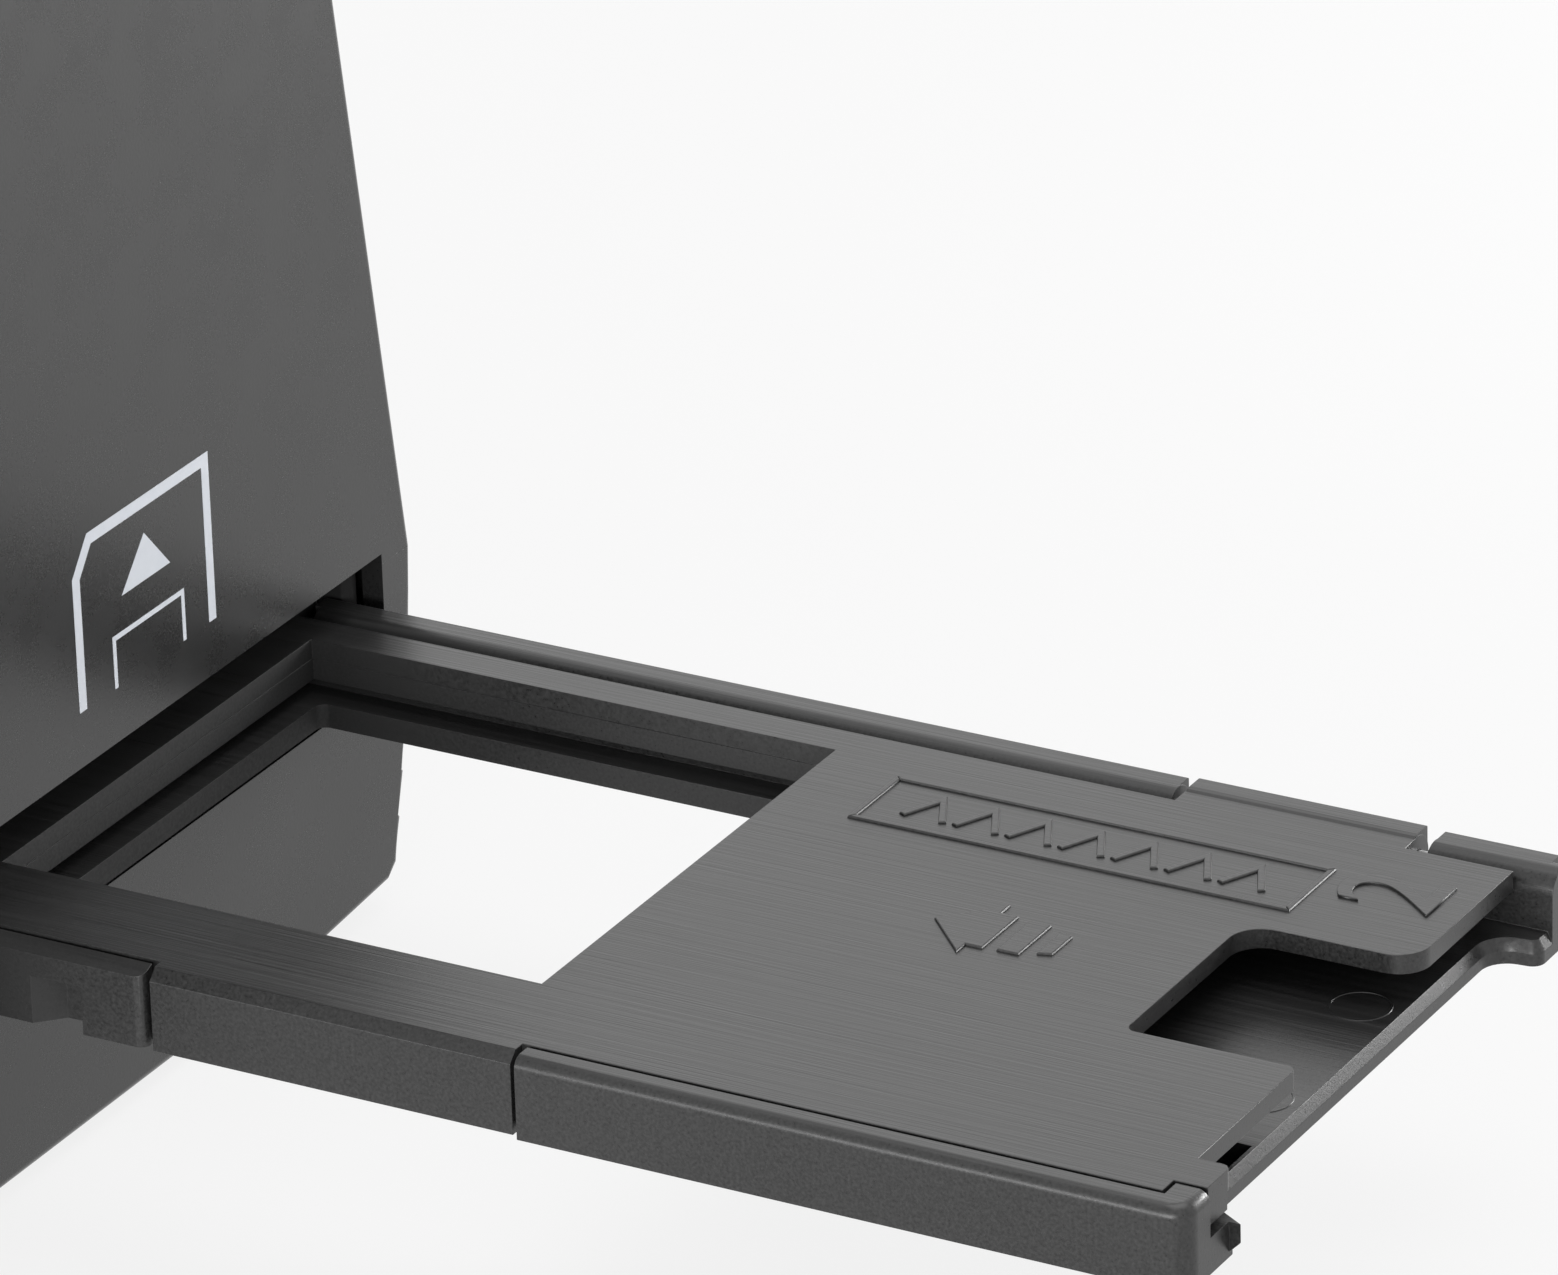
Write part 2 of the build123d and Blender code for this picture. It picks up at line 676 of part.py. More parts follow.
with BuildPart() as lens_barrel:
    with BuildSketch(level(sensor_bottom - lens_length)):
        with Locations((0, optics_y)):
            Circle(lens_radius)
    extrude(amount=lens_length)
    with BuildSketch(level(hood_top)):
        with Locations((0, optics_y)):
            Circle(lens_flange_radius)
    extrude(amount=lens_flange)
    with BuildSketch(level(sensor_bottom - lens_length)):
        with Locations((0, optics_y)):
            Circle(glass_radius)
    extrude(amount=lens_length - 3.0, mode=Mode.SUBTRACT)
    with BuildSketch(level(0)):
        with Locations((0, optics_y)):
            Circle(stop_radius)
    extrude(amount=sensor_bottom, mode=Mode.SUBTRACT)
hold(lens_barrel.part, "lens_barrel")

with BuildPart() as lens_glass:
    lens_z = sensor_bottom - lens_length + 1.6
    with BuildSketch(Plane(origin=(body_x, optics_y, lens_z), x_dir=(1, 0, 0), z_dir=(0, -1, 0))):
        with BuildLine():
            Line((0, -lens_bulge), (0, lens_rim + lens_bulge))
            TangentArc((0, lens_rim + lens_bulge), (glass_radius, lens_rim), tangent=(1, 0))
            Line((glass_radius, lens_rim), (glass_radius, 0))
            TangentArc((0, -lens_bulge), (glass_radius, 0), tangent=(1, 0))
        make_face()
    revolve(axis=Axis((body_x, optics_y, 0), (0, 0, 1)))
hold(lens_glass.part, "lens_glass")

with BuildPart() as sensor_board:
    with BuildSketch(level(sensor_bottom)):
        square(sensor_size / 2, optics_y)
    extrude(amount=board_thickness)
    with BuildSketch(level(sensor_bottom + board_thickness)):
        with Locations((0, optics_y - 6)):
            Rectangle(12.0, 9.0)
        with Locations((0, optics_y + sensor_size / 2 - 3)):
            Rectangle(ribbon_width + 3, 3.6)
    extrude(amount=1.2)
hold(sensor_board.part, "sensor_board")

with BuildPart() as sensor_ribbon:
    ribbon_low = sensor_bottom + board_thickness + 1.2 + ribbon_thickness / 2
    ribbon_high = main_board_height - 0.1 - ribbon_thickness / 2
    ribbon_back = optics_y + sensor_size / 2 + 4.0
    with BuildSketch(across(-ribbon_width / 2)):
        with BuildLine():
            FilletPolyline(
                (optics_y + sensor_size / 2 - 4, ribbon_low),
                (ribbon_back, ribbon_low),
                (ribbon_back, ribbon_high),
                (optics_y + sensor_size / 2 - 2, ribbon_high),
                radius=2.0,
            )
            offset(amount=ribbon_thickness / 2, kind=Kind.ARC, side=Side.BOTH)
        make_face()
    extrude(amount=ribbon_width)
hold(sensor_ribbon.part, "sensor_ribbon")

# ---- Main board and sockets ------------------------------------------------------------------

port_wall_y = wall_y(main_board_top)
board_rear = port_wall_y - wall - 0.6
socket_front = port_wall_y - port_depth - 0.4

with BuildPart() as main_board:
    with BuildSketch(level(main_board_height)):
        plate(-main_board_half, main_board_half, main_board_front, board_rear)
    extrude(amount=board_thickness)
    with BuildSketch(level(main_board_top)):
        with Locations((-12.0, 2.0)):
            Rectangle(16.0, 16.0)
        with Locations((14.0, 0.0)):
            Rectangle(11.0, 9.0)
        with Locations((-30.0, 6.0), (-30.0, 12.0)):
            Rectangle(4.0, 3.0)
    extrude(amount=1.4)
    with BuildSketch(level(main_board_height - 1.0)):
        with Locations(
            (-board_post_x, board_post_front),
            (board_post_x, board_post_front),
            (-board_post_x, board_post_rear),
            (board_post_x, board_post_rear),
        ):
            Circle(small_screw_radius)
    extrude(amount=board_thickness + 2, mode=Mode.SUBTRACT)
hold(main_board.part, "main_board")

with BuildPart() as usb_port:
    with BuildSketch(Plane(origin=(body_x, socket_front, 0), x_dir=(1, 0, 0), z_dir=(0, -1, 0))):
        with Locations((usb_x, main_board_top + port_height / 2)):
            RectangleRounded(usb_width, port_height, port_height / 2 - 0.01)
    extrude(amount=-port_depth)
    mouth = Plane(origin=(body_x, socket_front + port_depth, 0), x_dir=(1, 0, 0), z_dir=(0, -1, 0))
    with BuildSketch(mouth):
        with Locations((usb_x, main_board_top + port_height / 2)):
            RectangleRounded(usb_width - 0.7, port_height - 0.7, port_height / 2 - 0.4)
    extrude(amount=port_depth - 1.2, mode=Mode.SUBTRACT)
    with BuildSketch(mouth):
        with Locations((usb_x, main_board_top + port_height / 2)):
            Rectangle(usb_width - 2.6, 0.7)
    extrude(amount=port_depth - 0.6)
    with BuildSketch(mouth.offset(-0.1)):
        with Locations((usb_x, main_board_top + port_height / 2)):
            Rectangle(usb_width - 2.0, 1.2)
    extrude(amount=1.0, mode=Mode.SUBTRACT)
hold(usb_port.part, "usb_port")

with BuildPart() as video_port:
    with BuildSketch(Plane(origin=(body_x, socket_front, 0), x_dir=(1, 0, 0), z_dir=(0, -1, 0))):
        with Locations((video_x, main_board_top + port_height / 2)):
            Trapezoid(video_width, port_height, 65, rotation=180)
    extrude(amount=-port_depth)
    with BuildSketch(mouth):
        with Locations((video_x, main_board_top + port_height / 2)):
            Trapezoid(video_width - 1.0, port_height - 0.7, 65, rotation=180)
    extrude(amount=port_depth - 1.2, mode=Mode.SUBTRACT)
    with BuildSketch(mouth.offset(1.0)):
        with Locations((video_x, main_board_top + port_height / 2)):
            Rectangle(video_width - 4.4, 0.7)
    extrude(amount=port_depth - 1.6)
hold(video_port.part, "video_port")

with BuildPart() as card_slot:
    with BuildSketch(level(main_board_top)):
        plate(card_x - card_width / 2, card_x + card_width / 2, port_wall_y - card_depth, port_wall_y - 0.9)
    extrude(amount=card_height)
    with BuildSketch(level(main_board_top + 0.35)):
        plate(card_x - card_width / 2 + 0.8, card_x + card_width / 2 - 0.8, port_wall_y - card_depth + 1, port_wall_y)
    extrude(amount=card_height - 0.7, mode=Mode.SUBTRACT)
hold(card_slot.part, "card_slot")

with BuildPart() as board_screws:
    with BuildSketch(level(main_board_height - small_head_height)):
        with Locations(
            (-board_post_x, board_post_front),
            (board_post_x, board_post_front),
            (-board_post_x, board_post_rear),
            (board_post_x, board_post_rear),
        ):
            Circle(small_head_radius)
    extrude(amount=small_head_height)
    with BuildSketch(level(main_board_height)):
        with Locations(
            (-board_post_x, board_post_front),
            (board_post_x, board_post_front),
            (-board_post_x, board_post_rear),
            (board_post_x, board_post_rear),
        ):
            Circle(small_screw_radius)
    extrude(amount=small_screw_length)
    with BuildSketch(level(button_board_top - board_thickness - small_head_height)):
        with Locations((-button_pitch * 1.5, button_y), (button_pitch * 1.5, button_y)):
            Circle(small_head_radius)
    extrude(amount=small_head_height)
    with BuildSketch(level(button_board_top - board_thickness)):
        with Locations((-button_pitch * 1.5, button_y), (button_pitch * 1.5, button_y)):
            Circle(small_screw_radius)
    extrude(amount=small_screw_length - 1.0)
hold(board_screws.part, "board_screws")

# ---- Buttons ---------------------------------------------------------------------------------

with BuildPart() as control_panel:
    with BuildSketch(level(panel_bottom)):
        with Locations((0, button_y)):
            RectangleRounded(2 * panel_half_width, 2 * panel_half_depth, 2.0)
            Circle(scan_radius + button_play, mode=Mode.SUBTRACT)
        with Locations(*[(i * button_pitch, button_y) for i in (-2, -1, 1, 2)]):
            Circle(button_radius + button_play, mode=Mode.SUBTRACT)
    extrude(amount=panel_thickness)
hold(control_panel.part, "control_panel")

with BuildPart() as button_board:
    with BuildSketch(level(button_board_top - board_thickness)):
        plate(-panel_half_width, panel_half_width, button_y - 6.0, button_y + 5.5)
        with Locations((-button_pitch * 1.5, button_y), (button_pitch * 1.5, button_y)):
            Circle(small_screw_radius, mode=Mode.SUBTRACT)
    extrude(amount=board_thickness)
    with BuildSketch(level(button_board_top)):
        with Locations(*[(i * button_pitch, button_y) for i in (-2, -1, 0, 1, 2)]):
            Rectangle(switch_size, switch_size)
    extrude(amount=switch_height)
    with BuildSketch(level(button_board_top + switch_height)):
        with Locations(*[(i * button_pitch, button_y) for i in (-2, -1, 0, 1, 2)]):
            Circle(plunger_radius)
    extrude(amount=plunger_height)
hold(button_board.part, "button_board")

buttons = {
    "power_button": (-2, button_radius),
    "menu_button": (-1, button_radius),
    "scan_button": (0, scan_radius),
    "back_button": (1, button_radius),
    "next_button": (2, button_radius),
}

for button_name, (place, radius) in buttons.items():
    with BuildPart() as button:
        with BuildSketch(level(flange_top)):
            with Locations((place * button_pitch, button_y)):
                Circle(radius)
        extrude(amount=body_height + button_stand - flange_top)
        fillet(button.faces().sort_by(Axis.Z)[-1].edges(), 0.5)
        with BuildSketch(level(flange_bottom)):
            with Locations((place * button_pitch, button_y)):
                Circle(radius + button_flange)
        extrude(amount=flange_thickness)
        with BuildSketch(level(stem_bottom)):
            with Locations((place * button_pitch, button_y)):
                Circle(plunger_radius)
        extrude(amount=flange_bottom - stem_bottom)
    hold(button.part, button_name)

# ---- Screen that tips up ---------------------------------------------------------------------

screen_low = body_height - screen_thickness
bezel_low = body_height - bezel_thickness


def screen_outline():
    """Side view of the whole screen, round about its hinge at the front."""
    with BuildLine() as outline:
        Line((hinge_y, body_height), (screen_rear, body_height))
        Line((screen_rear, body_height), (screen_rear, screen_low))
        Line((screen_rear, screen_low), (hinge_y, screen_low))
        ThreePointArc(
            (hinge_y, screen_low), (hinge_y - screen_thickness / 2, hinge_z), (hinge_y, body_height)
        )
    return outline.edges()


with BuildPart() as screen_back:
    with BuildSketch(across(-screen_width / 2)):
        make_face(screen_outline())
        plate(-half_depth, half_depth, bezel_low, body_height + 1, Mode.SUBTRACT)
    extrude(amount=screen_width)
    rear_corners = screen_back.edges().filter_by(Axis.Z).group_by(Axis.Y)[-1]
    fillet(rear_corners, 1.5)
    with BuildSketch(level(screen_low + screen_wall)):
        plate(
            -screen_width / 2 + screen_wall, screen_width / 2 - screen_wall,
            hinge_y + screen_thickness / 2, screen_rear - screen_wall,
        )
    extrude(amount=screen_thickness, mode=Mode.SUBTRACT)
    with BuildSketch(across(-screen_width / 2 - 1)):
        with Locations((hinge_y, hinge_z)):
            Circle(screen_pin_radius)
    extrude(amount=screen_pin_grip + 1, mode=Mode.SUBTRACT)
    with BuildSketch(across(screen_width / 2 - screen_pin_grip)):
        with Locations((hinge_y, hinge_z)):
            Circle(screen_pin_radius)
    extrude(amount=screen_pin_grip + 1, mode=Mode.SUBTRACT)
hold(screen_back.part, "screen_back")

with BuildPart() as screen_bezel:
    with BuildSketch(across(-screen_width / 2)):
        make_face(screen_outline())
        plate(-half_depth, half_depth, screen_low - 1, bezel_low, Mode.SUBTRACT)
    extrude(amount=screen_width)
    rear_corners = screen_bezel.edges().filter_by(Axis.Z).group_by(Axis.Y)[-1]
    fillet(rear_corners, 1.5)
    with BuildSketch(level(body_height - glass_thickness)):
        with Locations((0, glass_y)):
            RectangleRounded(glass_width + 0.2, glass_depth + 0.2, 2.0)
    extrude(amount=glass_thickness + 1, mode=Mode.SUBTRACT)
    with BuildSketch(level(bezel_low - 1)):
        with Locations((0, glass_y)):
            Rectangle(view_width, view_depth)
    extrude(amount=bezel_thickness + 2, mode=Mode.SUBTRACT)
hold(screen_bezel.part, "screen_bezel")

with BuildPart() as screen_window:
    with BuildSketch(level(body_height - glass_thickness)):
        with Locations((0, glass_y)):
            RectangleRounded(glass_width, glass_depth, 2.0 - 0.1)
    extrude(amount=glass_thickness)
hold(screen_window.part, "screen_window")

with BuildPart() as lcd_panel:
    with BuildSketch(level(bezel_low - lcd_thickness)):
        with Locations((0, glass_y)):
            Rectangle(lcd_width, lcd_depth)
    extrude(amount=lcd_thickness)
hold(lcd_panel.part, "lcd_panel")

with BuildPart() as screen_hinge_pins:
    pin_length = screen_pin_grip + well_gap + wall - 0.2
    with BuildSketch(across(-well_half - wall + 0.2)):
        with Locations((hinge_y, hinge_z)):
            Circle(screen_pin_radius)
    extrude(amount=pin_length)
    with BuildSketch(across(screen_width / 2 - screen_pin_grip)):
        with Locations((hinge_y, hinge_z)):
            Circle(screen_pin_radius)
    extrude(amount=pin_length)
hold(screen_hinge_pins.part, "screen_hinge_pins")

# ---- Slide holder: tray ----------------------------------------------------------------------

tray_top = -(lid_plate + lid_gap)
channel_floor = floor_plate - holder_thickness
half_channel = channel_width / 2
hinge_line = far_face - hinge_radius
rail_inner = hinge_line - hinge_radius
wall_inner = near_face + side_wall
end_inner = near_face - end_step + end_wall
latch_front = end_inner + lid_play
catch_top = -(latch_drop + catch_play)
rim_side = window_width / 2 - rim_step
rim_end = window_length / 2 - rim_step
pocket_half = rim_side + rim_thickness + lid_play
pocket_end = rim_end + rim_thickness + lid_play
grip_slot_left = grip_left - grip_gap
grip_slot_right = grip_right + grip_gap
knuckle_length = knuckle_end - knuckle_start
knuckle_room = knuckle_gap + knuckle_length + knuckle_slack
knuckle_starts = [knuckle_start, 2 * holder_middle - knuckle_end]

with BuildPart() as holder_base:
    # Floor. Its corner at the hinge side stands out, and its right edge is slanted all along
    with BuildSketch(holder_level(-holder_thickness)) as floor_plan:
        Polygon(
            (holder_left, near_face),
            (tray_end, near_face),
            (tray_end, ear_front),
            (holder_right, ear_front + ear_slant),
            (holder_right, far_face),
            (holder_left, far_face),
            align=None,
        )
        fillet(floor_plan.vertices().sort_by_distance((tray_end, ear_front))[0], ear_bend)
        fillet(floor_plan.vertices().sort_by_distance((holder_right, ear_front + ear_slant))[0], ear_radius)
    extrude(amount=floor_plate)
    floor_face = holder_base.faces().filter_by(Axis.Z).sort_by(Axis.Z)[-1]
    right_edge = floor_face.edges().filter_by(
        lambda edge: edge.center().X > body_x + holder_out + tray_end - 0.1 and edge.center().Y < optics_y + far_face - 1
    )
    chamfer(right_edge, floor_bevel, floor_bevel_drop, reference=floor_face)
    # Bands on both sides of the channel, which carry the lid
    with BuildSketch(holder_level(-holder_thickness)):
        plate(holder_left, lid_end - band_stop, near_face, rail_inner + 0.5)
    extrude(amount=holder_thickness + tray_top)
    # Near side wall: a plain stretch with a slanted top
    with BuildSketch(holder_across(holder_left)):
        Polygon(
            (near_face, -holder_thickness),
            (wall_inner, -holder_thickness),
            (wall_inner, -wall_low),
            (near_face, -wall_low - wall_slant),
            align=None,
        )
    extrude(amount=grip_slot_left - holder_left)
    # The end stretch, which stands out, has a round top and ends in a thicker wall
    with BuildSketch(holder_level(-holder_thickness)):
        plate(grip_slot_right, holder_right, near_face - end_step, wall_inner)
        plate(lid_end + lid_play, holder_right, near_face, end_inner)
    extrude(amount=holder_thickness)
    end_corner = holder_base.edges().filter_by(Axis.Z).sort_by_distance(
        (body_x + holder_out + holder_right, optics_y + near_face - end_step, holder_top - 3)
    )[0]
    fillet(end_corner, end_radius)
    end_top = holder_base.faces().filter_by(Axis.Z).sort_by(Axis.Z)[-1]
    fillet(end_top.edges().group_by(Axis.Y)[0], end_round)
    # Catch under the lid's tab
    with BuildSketch(holder_level(-holder_thickness)):
        with BuildLine():
            Polyline(
                (tray_end - ear_bend, end_inner - 1),
                (holder_right, end_inner - 1),
                (holder_right, catch_front),
                (catch_end, catch_front),
                (tray_end - ear_bend, catch_front + catch_slope * (catch_end - tray_end + ear_bend)),
                close=True,
            )
        make_face()
    extrude(amount=holder_thickness + catch_top)
    catch_side = Plane(origin=(body_x + holder_out, optics_y + catch_front - 1, holder_top), x_dir=(1, 0, 0), z_dir=(0, -1, 0))
    with BuildSketch(catch_side):
        Polygon(
            (holder_right, -holder_thickness - 1),
            (catch_end + 1, -holder_thickness - 1),
            (catch_end + 1, -catch_tip),
            (catch_end, -catch_tip),
            (holder_right, -catch_low),
            align=None,
        )
    extrude(amount=-(catch_end - holder_right + 3), mode=Mode.SUBTRACT)
    # Rail on the hinge side, round on top
    with BuildSketch(holder_across(holder_left)):
        plate(rail_inner, far_face, -holder_thickness, -hinge_radius)
        with Locations((hinge_line, -hinge_radius)):
            Circle(hinge_radius)
    extrude(amount=holder_right - holder_left)
    # Channel for the mounts, through the whole length
    with BuildSketch(holder_level(channel_floor)):
        plate(holder_left - 1, holder_right + 1, -half_channel, half_channel)
        plate(-pocket_end, window_length / 2 + lid_play, -pocket_half, pocket_half)
    extrude(amount=holder_thickness, mode=Mode.SUBTRACT)
    # Window
    with BuildSketch(holder_level(-holder_thickness - 1)):
        with Locations((0, 0)):
            RectangleRounded(window_length - 2 * window_ledge, window_width - 2 * window_ledge, 1.0)
    extrude(amount=holder_thickness, mode=Mode.SUBTRACT)
    # Room for the folded edge of the lid
    with BuildSketch(holder_level(-holder_thickness - 1)):
        plate(grip_slot_left, grip_slot_right, near_face - end_step - 1, wall_inner + plastic_gap)
    extrude(amount=holder_thickness + 2, mode=Mode.SUBTRACT)
    gap_corners = holder_base.edges().filter_by(Axis.Z).filter_by(
        lambda edge: abs(edge.center().X - body_x - holder_out - grip_slot_left) < 0.01
        and abs(edge.center().Y - optics_y - near_face) < 0.01
    )
    fillet(gap_corners, wall_round)
    # Room for the lid's knuckles, and bores for its pins
    for start in knuckle_starts:
        with BuildSketch(holder_across(start - knuckle_gap)):
            plate(rail_inner - 1.2, far_face + 1, -2 * hinge_radius - lid_play, 1)
        extrude(amount=knuckle_room, mode=Mode.SUBTRACT)
        with BuildSketch(holder_across(start - knuckle_gap - pin_grip)):
            with Locations((hinge_line, -hinge_radius)):
                Circle(pin_radius)
        extrude(amount=knuckle_room + 2 * pin_grip, mode=Mode.SUBTRACT)
    # Click notch in the near side wall, with a ramp at its left end
    with BuildSketch(holder_level(-holder_thickness - 1)):
        notch_left = detent_middle - detent_width / 2
        notch_right = detent_middle + detent_width / 2
        Polygon(
            (notch_left - 1, near_face - 1),
            (notch_left + detent_depth, near_face + detent_depth),
            (notch_right - plastic_gap, near_face + detent_depth),
            (notch_right + plastic_gap, near_face - 1),
            align=None,
        )
    extrude(amount=detent_height + 1, mode=Mode.SUBTRACT)
    # Hollows under the near band
    hollow_front = near_face + detent_depth + thin_wall
    hollow_rear = -pocket_half - thin_wall
    hollow_middle = (grip_slot_right + lid_end) / 2
    with BuildSketch(holder_level(-holder_thickness - 1)):
        plate(holder_left + 5, grip_slot_left - 3, hollow_front, hollow_rear)
        plate(grip_slot_right + 3, hollow_middle - 2, hollow_front, hollow_rear)
        plate(hollow_middle + 2, tray_end - 5, hollow_front, hollow_rear)
    extrude(amount=hollow_depth, mode=Mode.SUBTRACT)
    # Small recess in the floor at the right end
    with BuildSketch(holder_level(channel_floor - slit_depth)):
        plate(tray_end - slit_inset - slit_width, tray_end - slit_inset, slit_front, slit_rear)
    extrude(amount=slit_depth + 1, mode=Mode.SUBTRACT)
hold(holder_base.part, "holder_base")

# ---- Slide holder: lid -----------------------------------------------------------------------

with BuildPart() as holder_lid:
    with BuildSketch(holder_level(-lid_plate)) as lid_plan:
        plate(lid_start, lid_end, wall_inner + lid_play, rail_inner - lid_play)
        plate(lid_end - 1, latch_end, latch_front, latch_rear)
        with Locations((0, 0)):
            Rectangle(window_length, window_width, mode=Mode.SUBTRACT)
        plate(notch_start, lid_end + 1, notch_low, notch_high, Mode.SUBTRACT)
        notch_corners = lid_plan.vertices().filter_by(
            lambda corner: notch_low - 0.1 < corner.Y < notch_high + 0.1 and corner.X > notch_start - 0.1
        )
        fillet(notch_corners.group_by(Axis.Y)[-1], notch_radius)
        fillet(lid_plan.vertices().filter_by(lambda corner: abs(corner.Y - notch_low) < 0.1), notch_crease)
        tab_corner = lid_plan.vertices().group_by(Axis.X)[-1].sort_by(Axis.Y)[-1]
        fillet(tab_corner, notch_crease)
    extrude(amount=lid_plate)
    # Tab at the near corner, which reaches down beside the end wall
    with BuildSketch(holder_level(-latch_drop)):
        plate(lid_end + lid_play, latch_end, latch_front, latch_rear - notch_crease)
    extrude(amount=latch_drop)
    # Edge folded down into the near side
    with BuildSketch(holder_level(-holder_thickness)):
        plate(grip_left, grip_right, near_face, wall_inner - 0.1)
    extrude(amount=holder_thickness)
    with BuildSketch(holder_level(-lid_plate)):
        plate(grip_left, grip_right, near_face + 1, wall_inner + 1)
    extrude(amount=lid_plate)
    grip_edge = holder_lid.edges().filter_by(Axis.X).group_by(Axis.Z)[-1].group_by(Axis.Y)[0]
    chamfer(grip_edge, fold_bevel)
    # Rim under the window's left, near and far sides, which presses the mount down
    with BuildSketch(holder_level(-lid_plate - rim_height)):
        plate(-rim_end - rim_thickness, window_length / 2 - rim_open,
              -rim_side - rim_thickness, rim_side + rim_thickness)
        plate(-rim_end, window_length / 2, -rim_side, rim_side, Mode.SUBTRACT)
    extrude(amount=rim_height)
    # Hinge knuckles
    for start in knuckle_starts:
        with BuildSketch(holder_across(start)):
            plate(rail_inner - 1, hinge_line, -lid_plate, 0)
            with Locations((hinge_line, -hinge_radius)):
                Circle(hinge_radius)
                Circle(pin_radius + pin_play, mode=Mode.SUBTRACT)
        extrude(amount=knuckle_length)
hold(holder_lid.part, "holder_lid")

with BuildPart() as holder_hinge_pins:
    for start in knuckle_starts:
        with BuildSketch(holder_across(start - knuckle_gap - pin_grip)):
            with Locations((hinge_line, -hinge_radius)):
                Circle(pin_radius)
        extrude(amount=knuckle_room + 2 * pin_grip)
hold(holder_hinge_pins.part, "holder_hinge_pins")
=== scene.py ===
import json
import math

import bmesh
import bpy
from mathutils import Matrix, Vector

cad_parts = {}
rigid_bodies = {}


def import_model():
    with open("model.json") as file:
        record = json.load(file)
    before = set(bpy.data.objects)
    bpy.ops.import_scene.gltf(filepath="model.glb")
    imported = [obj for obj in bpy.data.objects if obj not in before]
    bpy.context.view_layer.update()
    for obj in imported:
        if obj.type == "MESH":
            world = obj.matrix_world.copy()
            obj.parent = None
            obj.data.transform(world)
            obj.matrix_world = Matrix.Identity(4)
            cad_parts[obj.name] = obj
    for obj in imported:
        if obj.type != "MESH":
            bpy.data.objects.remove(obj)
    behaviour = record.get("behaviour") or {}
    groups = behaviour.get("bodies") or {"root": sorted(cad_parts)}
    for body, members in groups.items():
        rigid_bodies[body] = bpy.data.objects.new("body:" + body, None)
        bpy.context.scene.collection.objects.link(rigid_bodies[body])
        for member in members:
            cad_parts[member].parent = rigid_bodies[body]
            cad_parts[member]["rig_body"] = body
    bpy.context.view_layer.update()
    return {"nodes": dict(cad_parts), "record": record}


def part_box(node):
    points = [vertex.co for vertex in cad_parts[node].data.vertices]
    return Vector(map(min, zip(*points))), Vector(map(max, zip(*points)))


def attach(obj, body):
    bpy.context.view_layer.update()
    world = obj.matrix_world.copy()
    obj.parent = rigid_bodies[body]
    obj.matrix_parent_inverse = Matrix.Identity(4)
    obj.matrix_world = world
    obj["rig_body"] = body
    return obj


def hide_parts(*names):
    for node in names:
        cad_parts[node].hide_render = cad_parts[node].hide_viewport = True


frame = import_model()
nodes = frame["nodes"]
mm = 0.001
panel_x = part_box("upper_housing")[1].x       # the side panel that the holder comes out of
window_out = 25.85 * mm                      # how far out of it the middle of the holder's window is
holder_x, holder_y = panel_x + window_out, 17.15 * mm
holder_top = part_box("holder_base")[1].z


def placed(name, data):
    """A new object in the scene."""
    made = bpy.data.objects.new(name, data)
    bpy.context.scene.collection.objects.link(made)
    return made


# ---- Camera and studio ------------------------------------------------------------------------

# The camera was fitted to the photo's straight edges
picture_width = 1558              # pixels
focal_length = 10565.76           # in pixels
camera_turn = math.radians(29.853)
camera_rise = math.radians(24.538)
camera_roll = math.radians(-1.7526)
camera_place = Vector((panel_x + 467.235 * mm, -688.628 * mm, 425.78 * mm))


def aim(back, roll=0.0):
    """Rotation whose -Z looks against back, turned by roll about it."""
    right = Vector((0, 0, 1)).cross(back).normalized()
    up = back.cross(right)
    turned = right * math.cos(roll) + up * math.sin(roll)
    upward = up * math.cos(roll) - right * math.sin(roll)
    return Matrix((turned, upward, back)).transposed().to_4x4()


def make_camera():
    lens = bpy.data.cameras.new("camera")
    lens.sensor_width = 36
    lens.lens = lens.sensor_width * focal_length / picture_width
    lens.clip_start = 0.01
    camera = placed("camera", lens)
    back = Vector((
        math.sin(camera_turn) * math.cos(camera_rise),
        -math.cos(camera_turn) * math.cos(camera_rise),
        math.sin(camera_rise),
    ))
    camera.matrix_world = Matrix.Translation(camera_place) @ aim(back, camera_roll)
    bpy.context.scene.camera = camera


def softbox(name, place, target, width, height, power):
    """Flat lamp that faces a target and isn't seen itself."""
    lamp = bpy.data.lights.new(name, "AREA")
    lamp.shape = "RECTANGLE"
    lamp.size = width
    lamp.size_y = height
    lamp.energy = power
    stand = placed(name, lamp)
    back = (Vector(place) - Vector(target)).normalized()
    stand.matrix_world = Matrix.Translation(place) @ aim(back)
    stand.visible_camera = False


def seen_directly(tree):
    """1 for rays that meet the camera straight, in a reflection or through glass."""
    rays = tree.nodes.new("ShaderNodeLightPath")
    seen = rays.outputs["Is Camera Ray"]
    for ray in ("Is Glossy Ray", "Is Transmission Ray"):
        either = tree.nodes.new("ShaderNodeMath")
        either.operation = "MAXIMUM"
        tree.links.new(seen, either.inputs[0])
        tree.links.new(rays.outputs[ray], either.inputs[1])
        seen = either.outputs[0]
    return seen


def mixed_surface(tree, share, under, over, output):
    """Two shaders on an output, the second for that share."""
    mix = tree.nodes.new("ShaderNodeMixShader")
    tree.links.new(share, mix.inputs["Fac"])
    tree.links.new(under, mix.inputs[1])
    tree.links.new(over, mix.inputs[2])
    tree.links.new(mix.outputs["Shader"], tree.nodes[output].inputs["Surface"])


backdrop = (0.945, 0.945, 0.945, 1)      # pale, where 1 is white
fill_strength = 0.5                      # light from all round on the object
glow_share = 0.88                        # the rest of the floor's tone takes the object's shadow
floor_reach = 6.0                        # metres from the middle to each side


